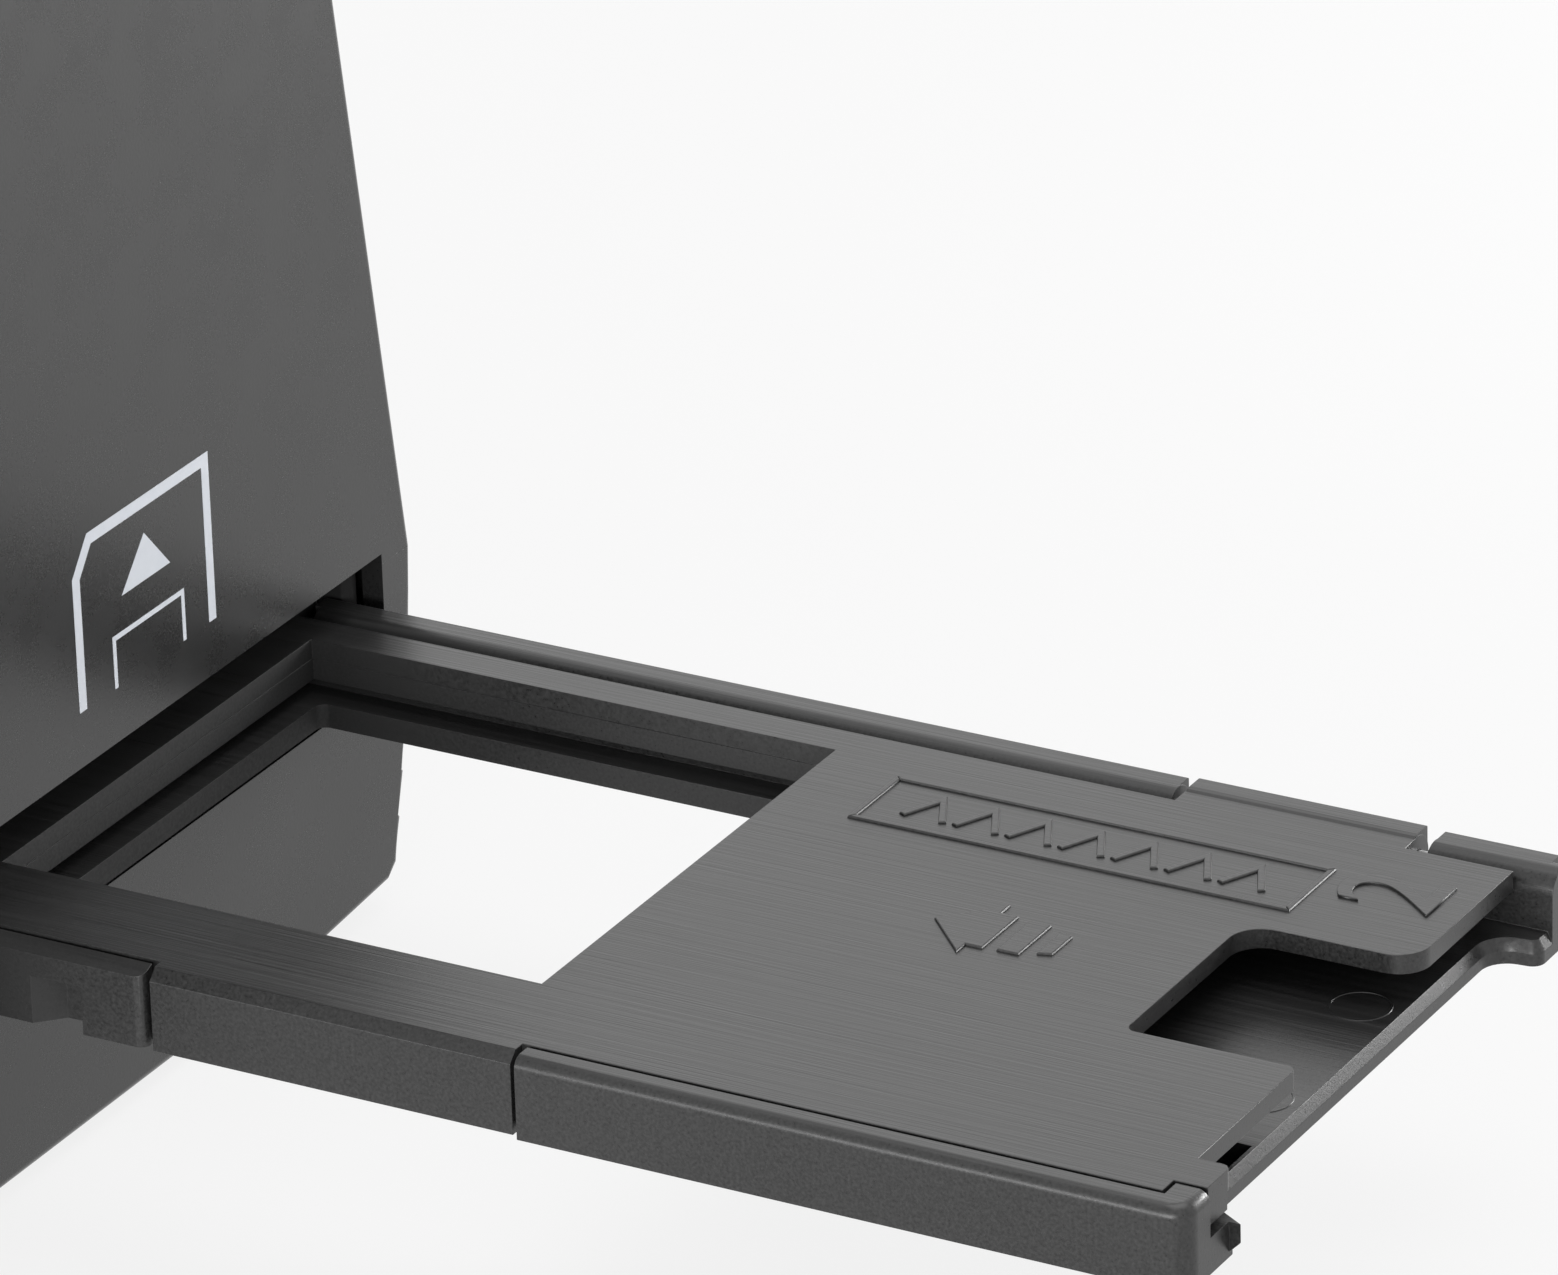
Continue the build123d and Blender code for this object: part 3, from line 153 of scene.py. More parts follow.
def make_sky():
    world = bpy.data.worlds.new("studio")
    bpy.context.scene.world = world
    world.use_nodes = True
    tree = world.node_tree
    ground = tree.nodes["Background"]
    ground.inputs["Color"].default_value = (1, 1, 1, 1)
    ground.inputs["Strength"].default_value = fill_strength
    seen = tree.nodes.new("ShaderNodeBackground")
    seen.inputs["Color"].default_value = backdrop
    seen.inputs["Strength"].default_value = 1.0
    mixed_surface(
        tree, seen_directly(tree), ground.outputs["Background"], seen.outputs["Background"], "World Output")


def make_floor():
    floor_mesh = bpy.data.meshes.new("floor")
    corners = [(x * floor_reach, y * floor_reach, 0) for x, y in ((-1, -1), (1, -1), (1, 1), (-1, 1))]
    floor_mesh.from_pydata(corners, [], [(0, 1, 2, 3)])
    floor = placed("floor", floor_mesh)
    floor_paint = bpy.data.materials.new("floor")
    floor_paint.use_nodes = True
    tree = floor_paint.node_tree
    paint = tree.nodes["Principled BSDF"]
    paint.inputs["Base Color"].default_value = (0.85, 0.85, 0.85, 1)
    paint.inputs["Roughness"].default_value = 0.9
    glow = tree.nodes.new("ShaderNodeEmission")
    glow.inputs["Color"].default_value = backdrop
    share = tree.nodes.new("ShaderNodeMath")
    share.operation = "MULTIPLY"
    share.inputs[1].default_value = glow_share
    tree.links.new(seen_directly(tree), share.inputs[0])
    mixed_surface(tree, share.outputs[0], paint.outputs["BSDF"], glow.outputs["Emission"], "Material Output")
    floor_mesh.materials.append(floor_paint)


def hang_lamps():
    """Place, target, width and height in metres, and power in watts."""
    middle = (0, 0, 0.05)
    softbox("lamp_top", (0.15, 0.25, 1.2), middle, 1.0, 0.9, 6)
    softbox("lamp_rear_left", (-0.75, 1.25, 0.72), middle, 1.2, 0.8, 2.4)
    softbox("lamp_rear_right", (0.25, 0.42, 0.10), (0, 0.03, 0.08), 0.25, 0.15, 1.5)
    softbox("lamp_front", (0.1, -1.3, 0.2), (0, 0, 0.1), 1.4, 0.4, 17)


make_camera()
make_sky()
make_floor()
hang_lamps()


# ---- Finishes ---------------------------------------------------------------------------------

class Level:
    """A number that varies over a surface. Python's operators add Math nodes to its finish."""

    def __init__(self, finish, socket):
        self.finish = finish
        self.socket = socket

    def maths(self, operation, first, second=0.0):
        return self.finish.node("ShaderNodeMath", {"operation": operation}, {0: first, 1: second})

    def __add__(self, other):
        return self.maths("ADD", self, other)

    def __sub__(self, other):
        return self.maths("SUBTRACT", self, other)

    def __mul__(self, other):
        return self.maths("MULTIPLY", self, other)

    def __gt__(self, other):
        return self.maths("GREATER_THAN", self, other)

    def __lt__(self, other):
        return self.maths("LESS_THAN", self, other)

    def size(self):
        return self.maths("ABSOLUTE", self)

    def root(self):
        return self.maths("SQRT", self)

    def __radd__(self, other):
        return self.maths("ADD", other, self)

    def __rsub__(self, other):
        return self.maths("SUBTRACT", other, self)

    def __rmul__(self, other):
        return self.maths("MULTIPLY", other, self)


class Finish:
    """A material, with one method that adds any node."""

    def __init__(self, name, **constants):
        self.material = bpy.data.materials.new(name)
        self.material.use_nodes = True
        self.tree = self.material.node_tree
        self.shader = self.tree.nodes["Principled BSDF"]
        for socket, value in constants.items():
            self.shader.inputs[socket.replace("_", " ")].default_value = value

    def node(self, kind, settings, sockets, output=0):
        made = self.tree.nodes.new(kind)
        for setting, value in settings.items():
            setattr(made, setting, value)
        for socket, value in sockets.items():
            if isinstance(value, Level):
                self.tree.links.new(value.socket, made.inputs[socket])
            else:
                made.inputs[socket].default_value = value
        return Level(self, made.outputs[output])

    def place(self, stretch=(1, 1, 1)):
        """Object coordinates, stretched."""
        spot = self.node("ShaderNodeTexCoord", {}, {}, "Object")
        return self.node("ShaderNodeVectorMath", {"operation": "MULTIPLY"}, {0: spot, 1: stretch})

    def axis(self, name):
        """One of the object coordinates, in metres."""
        spot = self.node("ShaderNodeTexCoord", {}, {}, "Object")
        return self.node("ShaderNodeSeparateXYZ", {}, {"Vector": spot}, name)

    def facing_up(self):
        """1 where the surface faces up, and 0 on its sides."""
        normal = self.node("ShaderNodeNewGeometry", {}, {}, "Normal")
        height = self.node("ShaderNodeSeparateXYZ", {}, {"Vector": normal}, "Z")
        return self.spread(height, 0.80, 0.98, 0.0, 1.0)

    def noise(self, size, detail=2.0, stretch=(1, 1, 1)):
        """Cloudy pattern with features of about that size in metres, from 0 to 1."""
        scale = 1.0 / size
        return self.node("ShaderNodeTexNoise", {}, {
            "Vector": self.place(stretch), "Scale": scale, "Detail": detail, "Roughness": 0.55}, "Fac")

    def spread(self, level, low, high, out_low, out_high):
        return self.node("ShaderNodeMapRange", {}, {
            "Value": level, "From Min": low, "From Max": high, "To Min": out_low, "To Max": out_high})

    def colour(self, dark, light, share):
        """Mix of two plain colours."""
        return self.node("ShaderNodeMix", {"data_type": "RGBA"}, {
            "Factor": share, 6: (*dark, 1), 7: (*light, 1)}, 2)

    def over(self, under, top, share):
        """A plain colour laid over a mixed one."""
        return self.node("ShaderNodeMix", {"data_type": "RGBA"}, {"Factor": share, 6: under, 7: (*top, 1)}, 2)

    def link(self, level, socket):
        self.tree.links.new(level.socket, self.shader.inputs[socket])

    def bump(self, height, depth):
        """Small relief of that depth in metres, from a level of 0 to 1."""
        relief = self.node("ShaderNodeBump", {}, {"Height": height, "Distance": depth, "Strength": 1.0})
        self.link(relief, "Normal")


def grey(tone, warm=0.0):
    """Plain grey of a given screen tone, 0 to 255."""
    linear = (tone / 255) ** 2.2
    return (linear * (1 + warm), linear, linear * (1 - warm))


def soft_touch():
    """Fine sand-blasted moulding of the two housings."""
    f = Finish("soft_touch", Specular_IOR_Level=0.5)
    grain = f.noise(0.35 * mm, 3.0)
    cloud = f.noise(22 * mm, 2.0)
    handled = f.noise(6 * mm, 4.0)
    tone = grain * 0.5 + cloud * 0.35 + handled * 0.15
    f.link(f.colour(grey(36), grey(46), f.spread(tone, 0.3, 0.7, 0.0, 1.0)), "Base Color")
    f.link(f.spread(handled + grain * 0.5, 0.45, 1.05, 0.24, 0.32), "Roughness")
    f.bump(grain, 0.009 * mm)
    return f.material


def brushed_black():
    """Dark holder plastic: fine lines along its flat top, and plain grain on its sides.

    The walls at the window's inner end, next to the body, are painted darker as shade, and matt.
    """
    f = Finish("brushed_black", Specular_IOR_Level=0.5)
    up = f.facing_up()
    lines = f.noise(0.20 * mm, 3.0, (0.012, 1.0, 0.3))
    long_lines = f.noise(0.55 * mm, 2.0, (0.008, 1.0, 0.3))
    grain = f.noise(0.30 * mm, 3.0)
    cloud = f.noise(18 * mm, 2.0, (0.5, 1, 1))
    streak = lines * 0.6 + long_lines * 0.4
    tone = streak * up + grain * (1 - up)
    share = f.spread(tone * 0.8 + cloud * 0.2, 0.32, 0.68, 0.0, 1.0)
    # painted shade: the window's walls turn darker towards the body, where its shade falls
    painted_shade_wall = f.spread(f.axis("X"), holder_x - 24 * mm, holder_x - 6 * mm, 1.0, 0.0) * (1 - up)
    f.link(f.over(f.colour(grey(32), grey(52), share), grey(14), painted_shade_wall), "Base Color")
    f.link(f.spread(tone, 0.3, 0.7, 0.27, 0.41) + painted_shade_wall * 0.45, "Roughness")
    f.bump(streak * up + grain * (1 - up) * 0.2, 0.045 * mm)
    return f.material


def flat_black():
    """Inner mouldings that should reflect no light."""
    f = Finish("flat_black", Specular_IOR_Level=0.4)
    grain = f.noise(0.3 * mm, 3.0)
    f.link(f.colour(grey(22), grey(32), grain), "Base Color")
    f.link(f.spread(grain, 0.3, 0.7, 0.68, 0.82), "Roughness")
    f.bump(grain, 0.03 * mm)
    return f.material


def foot_rubber():
    f = Finish("foot_rubber")
    grain = f.noise(0.25 * mm, 3.0)
    dust = f.noise(2.5 * mm, 3.0)
    f.link(f.colour(grey(40), grey(62), f.spread(dust, 0.35, 0.75, 0.0, 1.0)), "Base Color")
    f.link(f.spread(grain, 0.3, 0.7, 0.72, 0.9), "Roughness")
    f.bump(grain, 0.05 * mm)
    return f.material


def plated_steel():
    f = Finish("plated_steel", Metallic=1.0)
    scratches = f.noise(0.12 * mm, 3.0, (0.1, 1, 1))
    cloud = f.noise(3 * mm, 2.0)
    f.link(f.colour(grey(150), grey(196), f.spread(scratches * 0.6 + cloud * 0.4, 0.3, 0.7, 0.0, 1.0)), "Base Color")
    f.link(f.spread(scratches, 0.3, 0.7, 0.24, 0.42), "Roughness")
    f.bump(scratches, 0.006 * mm)
    return f.material


def opal_sheet():
    f = Finish("opal_sheet", Subsurface_Weight=0.2)
    grain = f.noise(0.4 * mm, 2.0)
    cloud = f.noise(12 * mm, 2.0)
    f.link(f.colour(grey(226, 0.01), grey(244), cloud), "Base Color")
    f.link(f.spread(grain, 0.3, 0.7, 0.42, 0.55), "Roughness")
    f.bump(grain, 0.01 * mm)
    return f.material


def circuit_board(name, copper_top):
    """Green board with its tracks. What stands over copper_top is black chip casing."""
    f = Finish(name)
    tracks = f.node("ShaderNodeTexBrick", {"offset": 0.37, "squash": 0.6, "squash_frequency": 3}, {
        "Vector": f.place(), "Scale": 260.0, "Mortar Size": 0.09, "Mortar Smooth": 0.1, "Brick Width": 1.7}, "Fac")
    weave = f.noise(0.5 * mm, 2.0)
    base = f.colour((0.008, 0.075, 0.030), (0.016, 0.125, 0.052), weave)
    copper = f.over(base, (0.035, 0.22, 0.085), tracks)
    chip = f.axis("Z") > copper_top
    chip_grain = f.noise(0.3 * mm, 2.0)
    f.link(f.over(copper, grey(44), chip), "Base Color")
    f.link(f.spread(chip_grain, 0.3, 0.7, 0.32, 0.5) + chip * 0.15, "Roughness")
    f.bump(tracks * (1 - chip) + chip_grain * chip * 0.4, 0.03 * mm)
    return f.material


def lens_glass():
    f = Finish("lens_glass", Transmission_Weight=1.0, IOR=1.52, Coat_Weight=0.6, Coat_Roughness=0.02)
    sheen = f.noise(4 * mm, 1.0)
    f.link(f.colour((0.80, 0.86, 0.92), (0.90, 0.93, 0.98), sheen), "Base Color")
    f.link(f.spread(sheen, 0.3, 0.7, 0.01, 0.03), "Roughness")
    return f.material


def ribbon_cable():
    f = Finish("ribbon_cable")
    bands = f.node("ShaderNodeTexWave", {"bands_direction": "X"}, {
        "Vector": f.place(), "Scale": 320.0, "Distortion": 0.0}, "Fac")
    grain = f.noise(0.5 * mm, 2.0)
    f.link(f.colour(grey(150), grey(214), f.spread(bands, 0.35, 0.6, 0.0, 1.0)), "Base Color")
    f.link(f.spread(grain, 0.3, 0.7, 0.30, 0.42), "Roughness")
    f.bump(bands, 0.02 * mm)
    return f.material


def piano_black(name, dark, light):
    """Polished black plastic with the faint haze of wiping."""
    f = Finish(name, Specular_IOR_Level=0.5, Coat_Roughness=0.05)
    haze = f.noise(9 * mm, 4.0, (1, 0.35, 1))
    fine = f.noise(0.5 * mm, 3.0)
    f.link(f.colour(grey(dark), grey(light), haze), "Base Color")
    f.link(f.spread(haze + fine * 0.3, 0.4, 0.95, 0.09, 0.13), "Roughness")
    f.link(f.spread(haze, 0.3, 0.7, 0.65, 0.75), "Coat Weight")
    return f.material


def power_sign(x, y):
    """Ring with a gap at its top and a bar in the gap."""
    away = (x * x + y * y).root()
    circle_line = (away > 1.3 * mm) * (away < 1.75 * mm) * (1 - (x.size() < 0.5 * mm) * (y > 0.0))
    return circle_line + (x.size() < 0.22 * mm) * (y > 0.3 * mm) * (y < 1.9 * mm)


def menu_sign(x, y):
    """Three bars."""
    rows = (y.size() < 0.22 * mm) + ((y.size() - 1.0 * mm).size() < 0.22 * mm)
    return rows * (x.size() < 1.5 * mm)


def scan_sign(x, y):
    """Ring round a dot."""
    away = (x * x + y * y).root()
    return (away > 1.9 * mm) * (away < 2.3 * mm) + (away < 1.1 * mm)


def back_sign(x, y):
    """Triangle that points left."""
    return (y.size() < (x + 1.5 * mm) * 0.6) * (x < 0.9 * mm)


def next_sign(x, y):
    """Triangle that points right."""
    return (y.size() < (1.5 * mm - x) * 0.6) * (x > -0.9 * mm)


def button_satin(name, middle, sign):
    """Satin button cap with its printed sign, given the middle of the cap."""
    f = Finish(name)
    grain = f.noise(0.22 * mm, 3.0)
    cloud = f.noise(5 * mm, 2.0)
    print_share = sign(f.axis("X") - middle.x, f.axis("Y") - middle.y) * f.facing_up()
    cap = f.colour(grey(120), grey(150), grain * 0.6 + cloud * 0.4)
    f.link(f.over(cap, grey(34), print_share), "Base Color")
    f.link(f.spread(grain, 0.3, 0.7, 0.34, 0.46), "Roughness")
    f.link(f.spread(cloud, 0.3, 0.7, 0.10, 0.25) * (1 - print_share), "Metallic")
    f.bump(grain, 0.012 * mm)
    return f.material


def shell_plastic():
    f = Finish("shell_plastic")
    grain = f.noise(0.4 * mm, 3.0)
    cloud = f.noise(14 * mm, 2.0)
    f.link(f.colour(grey(38), grey(50), grain * 0.6 + cloud * 0.4), "Base Color")
    f.link(f.spread(grain, 0.3, 0.7, 0.44, 0.58), "Roughness")
    f.bump(grain, 0.035 * mm)
    return f.material


def display_panel():
    f = Finish("display_panel")
    rows = f.node("ShaderNodeTexWave", {"bands_direction": "X"}, {
        "Vector": f.place(), "Scale": 900.0, "Distortion": 0.0}, "Fac")
    cloud = f.noise(20 * mm, 2.0)
    f.link(f.colour((0.018, 0.022, 0.030), (0.035, 0.042, 0.055), rows * 0.4 + cloud * 0.6), "Base Color")
    f.link(f.spread(cloud, 0.3, 0.7, 0.18, 0.26), "Roughness")
    return f.material


def white_print():
    """Pale screen-printed ink."""
    f = Finish("white_print")
    grain = f.noise(0.25 * mm, 3.0)
    wear = f.noise(1.6 * mm, 4.0)
    f.link(f.colour((0.53, 0.56, 0.61), (0.65, 0.67, 0.71), grain * 0.4 + wear * 0.6), "Base Color")
    f.link(f.spread(grain, 0.3, 0.7, 0.42, 0.56), "Roughness")
    f.bump(grain, 0.01 * mm)
    return f.material


boards = ("main_board", "sensor_board", "button_board", "backlight_board")
board_thickness = 1.6 * mm
chip_foot = 0.05 * mm        # how far over the board the chips' black casing begins

finishes = {
    "soft_touch": soft_touch(),
    "holder_plastic": brushed_black(),
    "inner_plastic": flat_black(),
    "rubber": foot_rubber(),
    "steel": plated_steel(),
    "opal": opal_sheet(),
    "lens": lens_glass(),
    "ribbon": ribbon_cable(),
    "socket_metal": plated_steel(),
    "panel": piano_black("piano_black", 14, 22),
    "screen_shell": shell_plastic(),
    "screen_glass": piano_black("screen_glass", 9, 16),
    "display": display_panel(),
    "print": white_print(),
}
board_finishes = {
    name: circuit_board(name + "_finish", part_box(name)[0].z + board_thickness + chip_foot) for name in boards
}
button_signs = {"power_button": power_sign, "menu_button": menu_sign, "scan_button": scan_sign,
                "back_button": back_sign, "next_button": next_sign}
button_finishes = {
    name: button_satin(name + "_finish", (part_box(name)[0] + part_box(name)[1]) / 2, sign)
    for name, sign in button_signs.items()
}
slots = {s["node"]: s["material_slot"] for s in frame["record"]["subparts"]}


def dress(piece, material):
    piece.data.materials.clear()
    piece.data.materials.append(material)


for name, node in nodes.items():
    dress(node, board_finishes.get(name) or button_finishes.get(name) or finishes[slots[name]])


# ---- Shapes -----------------------------------------------------------------------------------

def as_piece(mesh, name, body, slot_name, finish_name=None):
    """A mesh that rides on a body, with its slot's own finish unless another is named."""
    piece = placed(name, mesh)
    dress(piece, finishes[finish_name or slot_name])
    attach(piece, body)
    return piece


def evaluated_mesh(piece):
    """The piece's mesh with its modifiers applied. The piece itself is removed."""
    bpy.context.view_layer.update()
    graph = bpy.context.evaluated_depsgraph_get()
    mesh = bpy.data.meshes.new_from_object(piece.evaluated_get(graph), depsgraph=graph)
    bpy.data.objects.remove(piece)
    return mesh


def closed_mesh(shape, name):
    """The mesh of a bmesh shape, with its faces outwards."""
    bmesh.ops.recalc_face_normals(shape, faces=shape.faces)
    mesh = bpy.data.meshes.new(name)
    shape.to_mesh(mesh)
    shape.free()
    return mesh


def smooth_faces(mesh, angle):
    mesh.shade_smooth()
    mesh.set_sharp_from_angle(angle=math.radians(angle))


def levelled(mesh):
    """The mesh with normals that keep its large faces flat beside their eased edges."""
    piece = placed("levelled", mesh)
    level = piece.modifiers.new("level", "WEIGHTED_NORMAL")
    level.mode = "FACE_AREA"
    level.weight = 90
    level.keep_sharp = True
    return evaluated_mesh(piece)


same_spot = 0.002 * mm                   # corners this close are one
flat_join = math.radians(0.3)            # faces that meet at less are one
sharp_margin = 4                         # degrees over the least eased edge, from which an edge stays sharp


def eased(node_name, radius, least):
    """A node's own shape with its edges of at least that many degrees eased, which stands for it."""
    node = nodes[node_name]
    mesh = bpy.data.meshes.new(node_name)
    shape = bmesh.new()
    shape.from_mesh(node.data)
    bmesh.ops.remove_doubles(shape, verts=shape.verts, dist=same_spot)
    bmesh.ops.dissolve_limit(shape, angle_limit=flat_join, verts=shape.verts, edges=shape.edges, delimit=set())
    shape.to_mesh(mesh)
    shape.free()
    piece = placed(node_name + "_shape", mesh)
    ease = piece.modifiers.new("ease", "BEVEL")
    ease.width = radius
    ease.segments = 2
    ease.limit_method = "ANGLE"
    ease.angle_limit = math.radians(least)
    finished = evaluated_mesh(piece)
    smooth_faces(finished, least + sharp_margin)
    piece = as_piece(levelled(finished), node_name + "_eased", node["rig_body"], slots[node_name])
    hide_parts(node_name)


def slab(outlines, low, high, edge=0.0):
    """Mesh of flat outlines in X and Y, raised from low to high in Z. Its upper edges are eased by edge."""
    shape = bmesh.new()
    for outline in outlines:
        bottom = [shape.verts.new((x, y, low)) for x, y in outline]
        top = [shape.verts.new((x, y, high)) for x, y in outline]
        shape.faces.new(top)
        shape.faces.new(list(reversed(bottom)))
        for i in range(len(outline)):
            k = (i + 1) % len(outline)
            shape.faces.new((bottom[i], bottom[k], top[k], top[i]))
    bmesh.ops.recalc_face_normals(shape, faces=shape.faces)
    if edge > 0:
        rims = [e for e in shape.edges if all(abs(v.co.z - high) < 1e-9 for v in e.verts)]
        bmesh.ops.bevel(shape, geom=rims, offset=edge, segments=2, profile=0.5, affect="EDGES")
    return closed_mesh(shape, "slab")


def stroke(points, width):
    """Outline of a line of constant width along points, with mitred corners."""
    points = [Vector(p) for p in points]
    left, right = [], []
    for i, point in enumerate(points):
        before = (point - points[i - 1]).normalized() if i > 0 else None
        after = (points[i + 1] - point).normalized() if i < len(points) - 1 else None
        heading = ((before or after) + (after or before)).normalized()
        across = Vector((-heading.y, heading.x))
        reach = width / 2 / abs(across.dot(Vector((-(after or before).y, (after or before).x))))
        left.append(point + across * reach)
        right.append(point - across * reach)
    return [tuple(p) for p in left + right[::-1]]


def ring(points, width):
    """Four-sided frame of constant width, as four mitred bars. The points go round its middle line."""
    points = [Vector(p) for p in points]
    middle = sum(points, Vector((0, 0))) / len(points)
    outer = []
    for p in points:
        out = p - middle
        outer.append(p + Vector((math.copysign(width / 2, out.x), math.copysign(width / 2, out.y))))
    inner = [p * 2 - q for p, q in zip(points, outer)]
    bars = []
    for i in range(len(points)):
        k = (i + 1) % len(points)
        bars.append([tuple(outer[i]), tuple(outer[k]), tuple(inner[k]), tuple(inner[i])])
    return bars


def on_holder(outline):
    """Points given in millimetres from the middle of the holder's window."""
    return [(holder_x + x * mm, holder_y + y * mm) for x, y in outline]


def circle(x, y, radius, count):
    turn = 2 * math.pi / count
    return [(x + radius * math.cos(i * turn), y + radius * math.sin(i * turn)) for i in range(count)]


def row_tree():
    """Geometry nodes that set a piece out in a row."""
    tree = bpy.data.node_groups.new("row", "GeometryNodeTree")
    for name, kind in (
            ("Piece", "NodeSocketObject"), ("Count", "NodeSocketInt"), ("Start", "NodeSocketVector"),
            ("Step", "NodeSocketVector"), ("Finish", "NodeSocketMaterial")):
        tree.interface.new_socket(name, in_out="INPUT", socket_type=kind)
    tree.interface.new_socket("Geometry", in_out="OUTPUT", socket_type="NodeSocketGeometry")
    given = tree.nodes.new("NodeGroupInput")
    line = tree.nodes.new("GeometryNodeMeshLine")
    piece = tree.nodes.new("GeometryNodeObjectInfo")
    set_out = tree.nodes.new("GeometryNodeInstanceOnPoints")
    whole = tree.nodes.new("GeometryNodeRealizeInstances")
    paint = tree.nodes.new("GeometryNodeSetMaterial")
    result = tree.nodes.new("NodeGroupOutput")
    tree.links.new(given.outputs["Count"], line.inputs["Count"])
    tree.links.new(given.outputs["Start"], line.inputs["Start Location"])
    tree.links.new(given.outputs["Step"], line.inputs["Offset"])
    tree.links.new(given.outputs["Piece"], piece.inputs["Object"])
    tree.links.new(line.outputs["Mesh"], set_out.inputs["Points"])
    tree.links.new(piece.outputs["Geometry"], set_out.inputs["Instance"])
    tree.links.new(set_out.outputs["Instances"], whole.inputs["Geometry"])
    tree.links.new(whole.outputs["Geometry"], paint.inputs["Geometry"])
    tree.links.new(given.outputs["Finish"], paint.inputs["Material"])
    tree.links.new(paint.outputs["Geometry"], result.inputs["Geometry"])
    return tree


row = row_tree()


def set_in_row(piece_mesh, name, count, start, step, body, slot_name):
    """The piece repeated along a line, as one plain mesh on its body."""
    template = placed(name + "_one", piece_mesh)
    carrier = placed(name + "_carrier", bpy.data.meshes.new(name + "_carrier"))
    laid = carrier.modifiers.new("row", "NODES")
    laid.node_group = row
    inputs = {item.name: item.identifier for item in row.interface.items_tree if item.in_out == "INPUT"}
    laid[inputs["Piece"]] = template
    laid[inputs["Count"]] = count
    laid[inputs["Start"]] = start
    laid[inputs["Step"]] = step
    laid[inputs["Finish"]] = finishes[slot_name]
    mesh = evaluated_mesh(carrier)
    bpy.data.objects.remove(template)
    as_piece(mesh, name, body, slot_name)


# ---- Housings, screen and holder with eased edges ---------------------------------------------

edge_least = 28              # degrees
tray_edge_least = 19         # takes in the slant along the tray's floor as well

for name, radius, least in (
        ("upper_housing", 0.30, edge_least),
        ("lower_housing", 0.25, edge_least),
        ("holder_base", 0.16, tray_edge_least),
        ("holder_lid", 0.30, edge_least),
        ("screen_back", 0.25, edge_least),
        ("screen_bezel", 0.25, edge_least),
        ("control_panel", 0.15, edge_least),
        ("holder_guide", 0.15, edge_least)):
    eased(name, radius * mm, least)


# ---- Hinge side and tray floor ----------------------------------------------------------------

def bar_along(profile, stretches):
    """Bars along X with a profile in Y and Z, in millimetres from the window's middle and the holder's top."""
    shape = bmesh.new()
    for start, end in stretches:
        first, last = [
            [shape.verts.new((holder_x + x * mm, holder_y + y * mm, holder_top + z * mm)) for y, z in profile]
            for x in (start, end)]
        shape.faces.new(first)
        shape.faces.new(list(reversed(last)))
        for i in range(len(profile)):
            k = (i + 1) % len(profile)
            shape.faces.new((first[i], last[i], last[k], first[k]))
    return closed_mesh(shape, "bar")


def hinge_crowns():
    """The square outer corner on top of the hinge's round, on the tray and on the lid's knuckles."""
    hinge_y, far_y = 32.03, 34.13
    tray_crown = [
        (hinge_y, 0.0), (33.93, 0.0), (34.08, -0.06), (far_y, -0.2), (far_y, -2.3), (33.0, -2.3), (hinge_y, -1.0)]
    tray_stretches = [(-66.0, -55.4), (-30.5, 57.5), (82.4, 93.2)]
    as_piece(bar_along(tray_crown, tray_stretches), "tray_crown", "holder", "holder_plastic")
    knuckle_crown = [
        (31.2, -0.1), (31.7, 0.14), (32.2, 0.2), (33.9, 0.2), (34.07, 0.14), (far_y, 0.0), (far_y, -2.3),
        (33.0, -2.3), (31.2, -1.0)]
    knuckle_stretches = [(-53.6, -31.6), (58.6, 80.6)]
    as_piece(bar_along(knuckle_crown, knuckle_stretches), "knuckle_crown", "holder_lid", "holder_plastic")


def ejector_rings():
    """Faint round marks that the mould's ejector pins leave on the tray's floor."""
    shape = bmesh.new()
    low, high = holder_top - 5.35 * mm, holder_top - 5.24 * mm
    profile = ((2.80, low), (2.74, high), (2.62, high), (2.56, low))     # radius and height
    sides = 48
    for x, y in ((86.0, 10.1), (86.1, -8.7)):
        walls = []
        for radius, height in profile:
            walls.append([shape.verts.new((px, py, height)) for px, py in on_holder(circle(x, y, radius, sides))])
        for lower, upper in zip(walls, walls[1:] + walls[:1]):
            for i in range(sides):
                k = (i + 1) % sides
                shape.faces.new((lower[i], lower[k], upper[k], upper[i]))
    mesh = closed_mesh(shape, "rings")
    smooth_faces(mesh, 40)
    as_piece(mesh, "ejector_rings", "holder", "holder_plastic")


hinge_crowns()
ejector_rings()


# ---- Printed mark on the side panel -----------------------------------------------------------

def panel_mark():
    """The sign that shows how the holder goes in: a holder's outline, an arrow and a slot."""
    ink = 0.03 * mm
    left, right, foot, crown = 3.75, 24.98, 40.45, 55.95
    shoulder = (6.1, 52.9)
    frame_line = [(left, foot), (left, shoulder[1]), (shoulder[0], crown), (right, crown), (right, foot)]
    slot_line = [(9.15, 40.4), (9.15, 45.1), (20.35, 45.1), (20.35, 40.4)]
    arrow = [(10.75, 48.6), (18.65, 48.6), (14.75, 53.0)]
    outlines = [stroke(frame_line, 1.15), stroke(slot_line, 0.5), arrow]
    mesh = slab([[(y * mm, z * mm) for y, z in outline] for outline in outlines], 0, ink)
    # The slab's X and Y become the panel's Y and Z
    turn = Matrix(((0, 0, 1, panel_x), (1, 0, 0, 0), (0, 1, 0, 0), (0, 0, 0, 1)))
    mesh.transform(turn)
    as_piece(mesh, "panel_mark", "housing", "soft_touch", "print")


panel_mark()


# ---- Raised marks on the lid ------------------------------------------------------------------

lid_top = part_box("holder_lid")[1].z
mark_low = lid_top - 0.1 * mm        # foot, a little inside the lid
mark_high = lid_top + 0.22 * mm
mark_edge = 0.14 * mm                # round of the upper edges


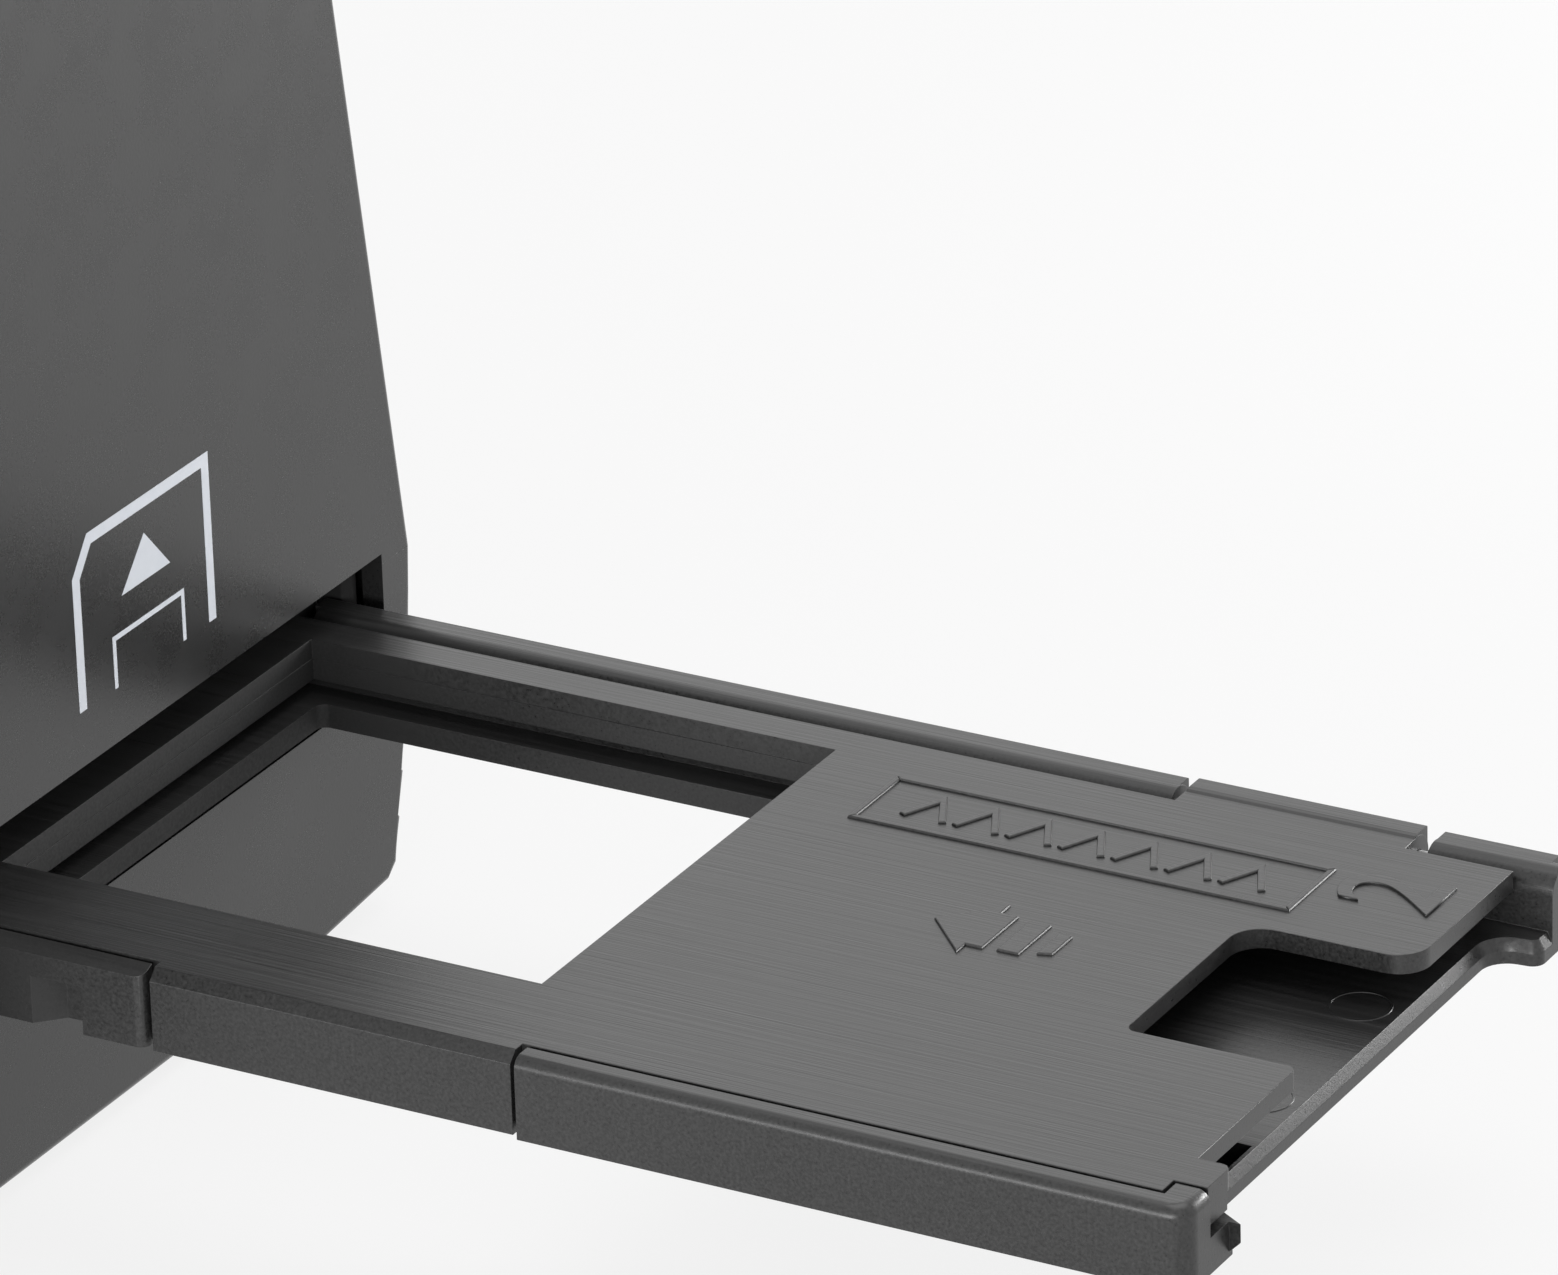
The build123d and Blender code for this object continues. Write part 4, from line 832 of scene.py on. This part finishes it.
def lid_frame():
    """Raised frame that holds the row of chevrons."""
    corners = [(34.88, 14.25), (77.08, 14.25), (77.08, 22.75), (34.88, 22.75)]
    mesh = slab([on_holder(bar) for bar in ring(corners, 0.6)], mark_low, mark_high, mark_edge)
    as_piece(mesh, "lid_frame", "holder_lid", "holder_plastic")


def lid_chevrons():
    """Row of plain chevrons in the frame."""
    arm, count, step = 2.0, 7, 5.15
    first_x, first_y = on_holder([(40.58, 18.45)])[0]
    chevron = stroke([(-arm, -arm), (0, arm), (arm, -arm)], 0.7)
    mesh = slab([[(x * mm, y * mm) for x, y in chevron]], mark_low, mark_high, mark_edge)
    set_in_row(mesh, "lid_chevrons", count, (first_x, first_y, 0), (step * mm, 0, 0), "holder_lid", "holder_plastic")


def lid_arrow():
    """Arrow with two slanted stripes behind it, which points into the body."""
    head = [(50.9, -0.38), (55.68, -5.35), (55.68, -3.7), (57.27, -3.7), (57.27, 2.95), (55.6, 2.95), (55.6, 4.6)]
    first_bar = [(58.5, -3.45), (60.6, -3.45), (60.6, 2.6), (58.5, 2.6)]
    second_bar = [(61.87, -2.6), (63.18, -2.2), (63.18, 1.5), (61.87, 1.9)]
    mesh = slab([on_holder(o) for o in (head, first_bar, second_bar)], mark_low, mark_high, mark_edge)
    as_piece(mesh, "lid_arrow", "holder_lid", "holder_plastic")


def raised_number(digit, name, body, corner, height, slot_name):
    """A plain number that stands up from the lid, read from the holder's right end."""
    digit_share = 0.72               # height of a digit in the font's size
    letters = bpy.data.curves.new(name, "FONT")
    letters.body = digit
    letters.size = height / digit_share
    letters.extrude = (mark_high - mark_low) / 2 - mark_edge / 2
    letters.bevel_depth = mark_edge / 2
    letters.bevel_resolution = 1
    mesh = evaluated_mesh(placed(name + "_draft", letters))
    # Its right becomes +Y and its top -X
    middle_z = (mark_high + mark_low) / 2
    turn = Matrix(((0, -1, 0, corner[0]), (1, 0, 0, corner[1]), (0, 0, 1, middle_z), (0, 0, 0, 1)))
    mesh.transform(turn)
    as_piece(mesh, name, body, slot_name)


lid_frame()
lid_chevrons()
lid_arrow()
raised_number("2", "lid_number", "holder_lid", on_holder([(88.2, 17.85)])[0], 9.6 * mm, "holder_plastic")


# ---- Colour view ------------------------------------------------------------------------------

bpy.context.scene.view_settings.view_transform = "Standard"
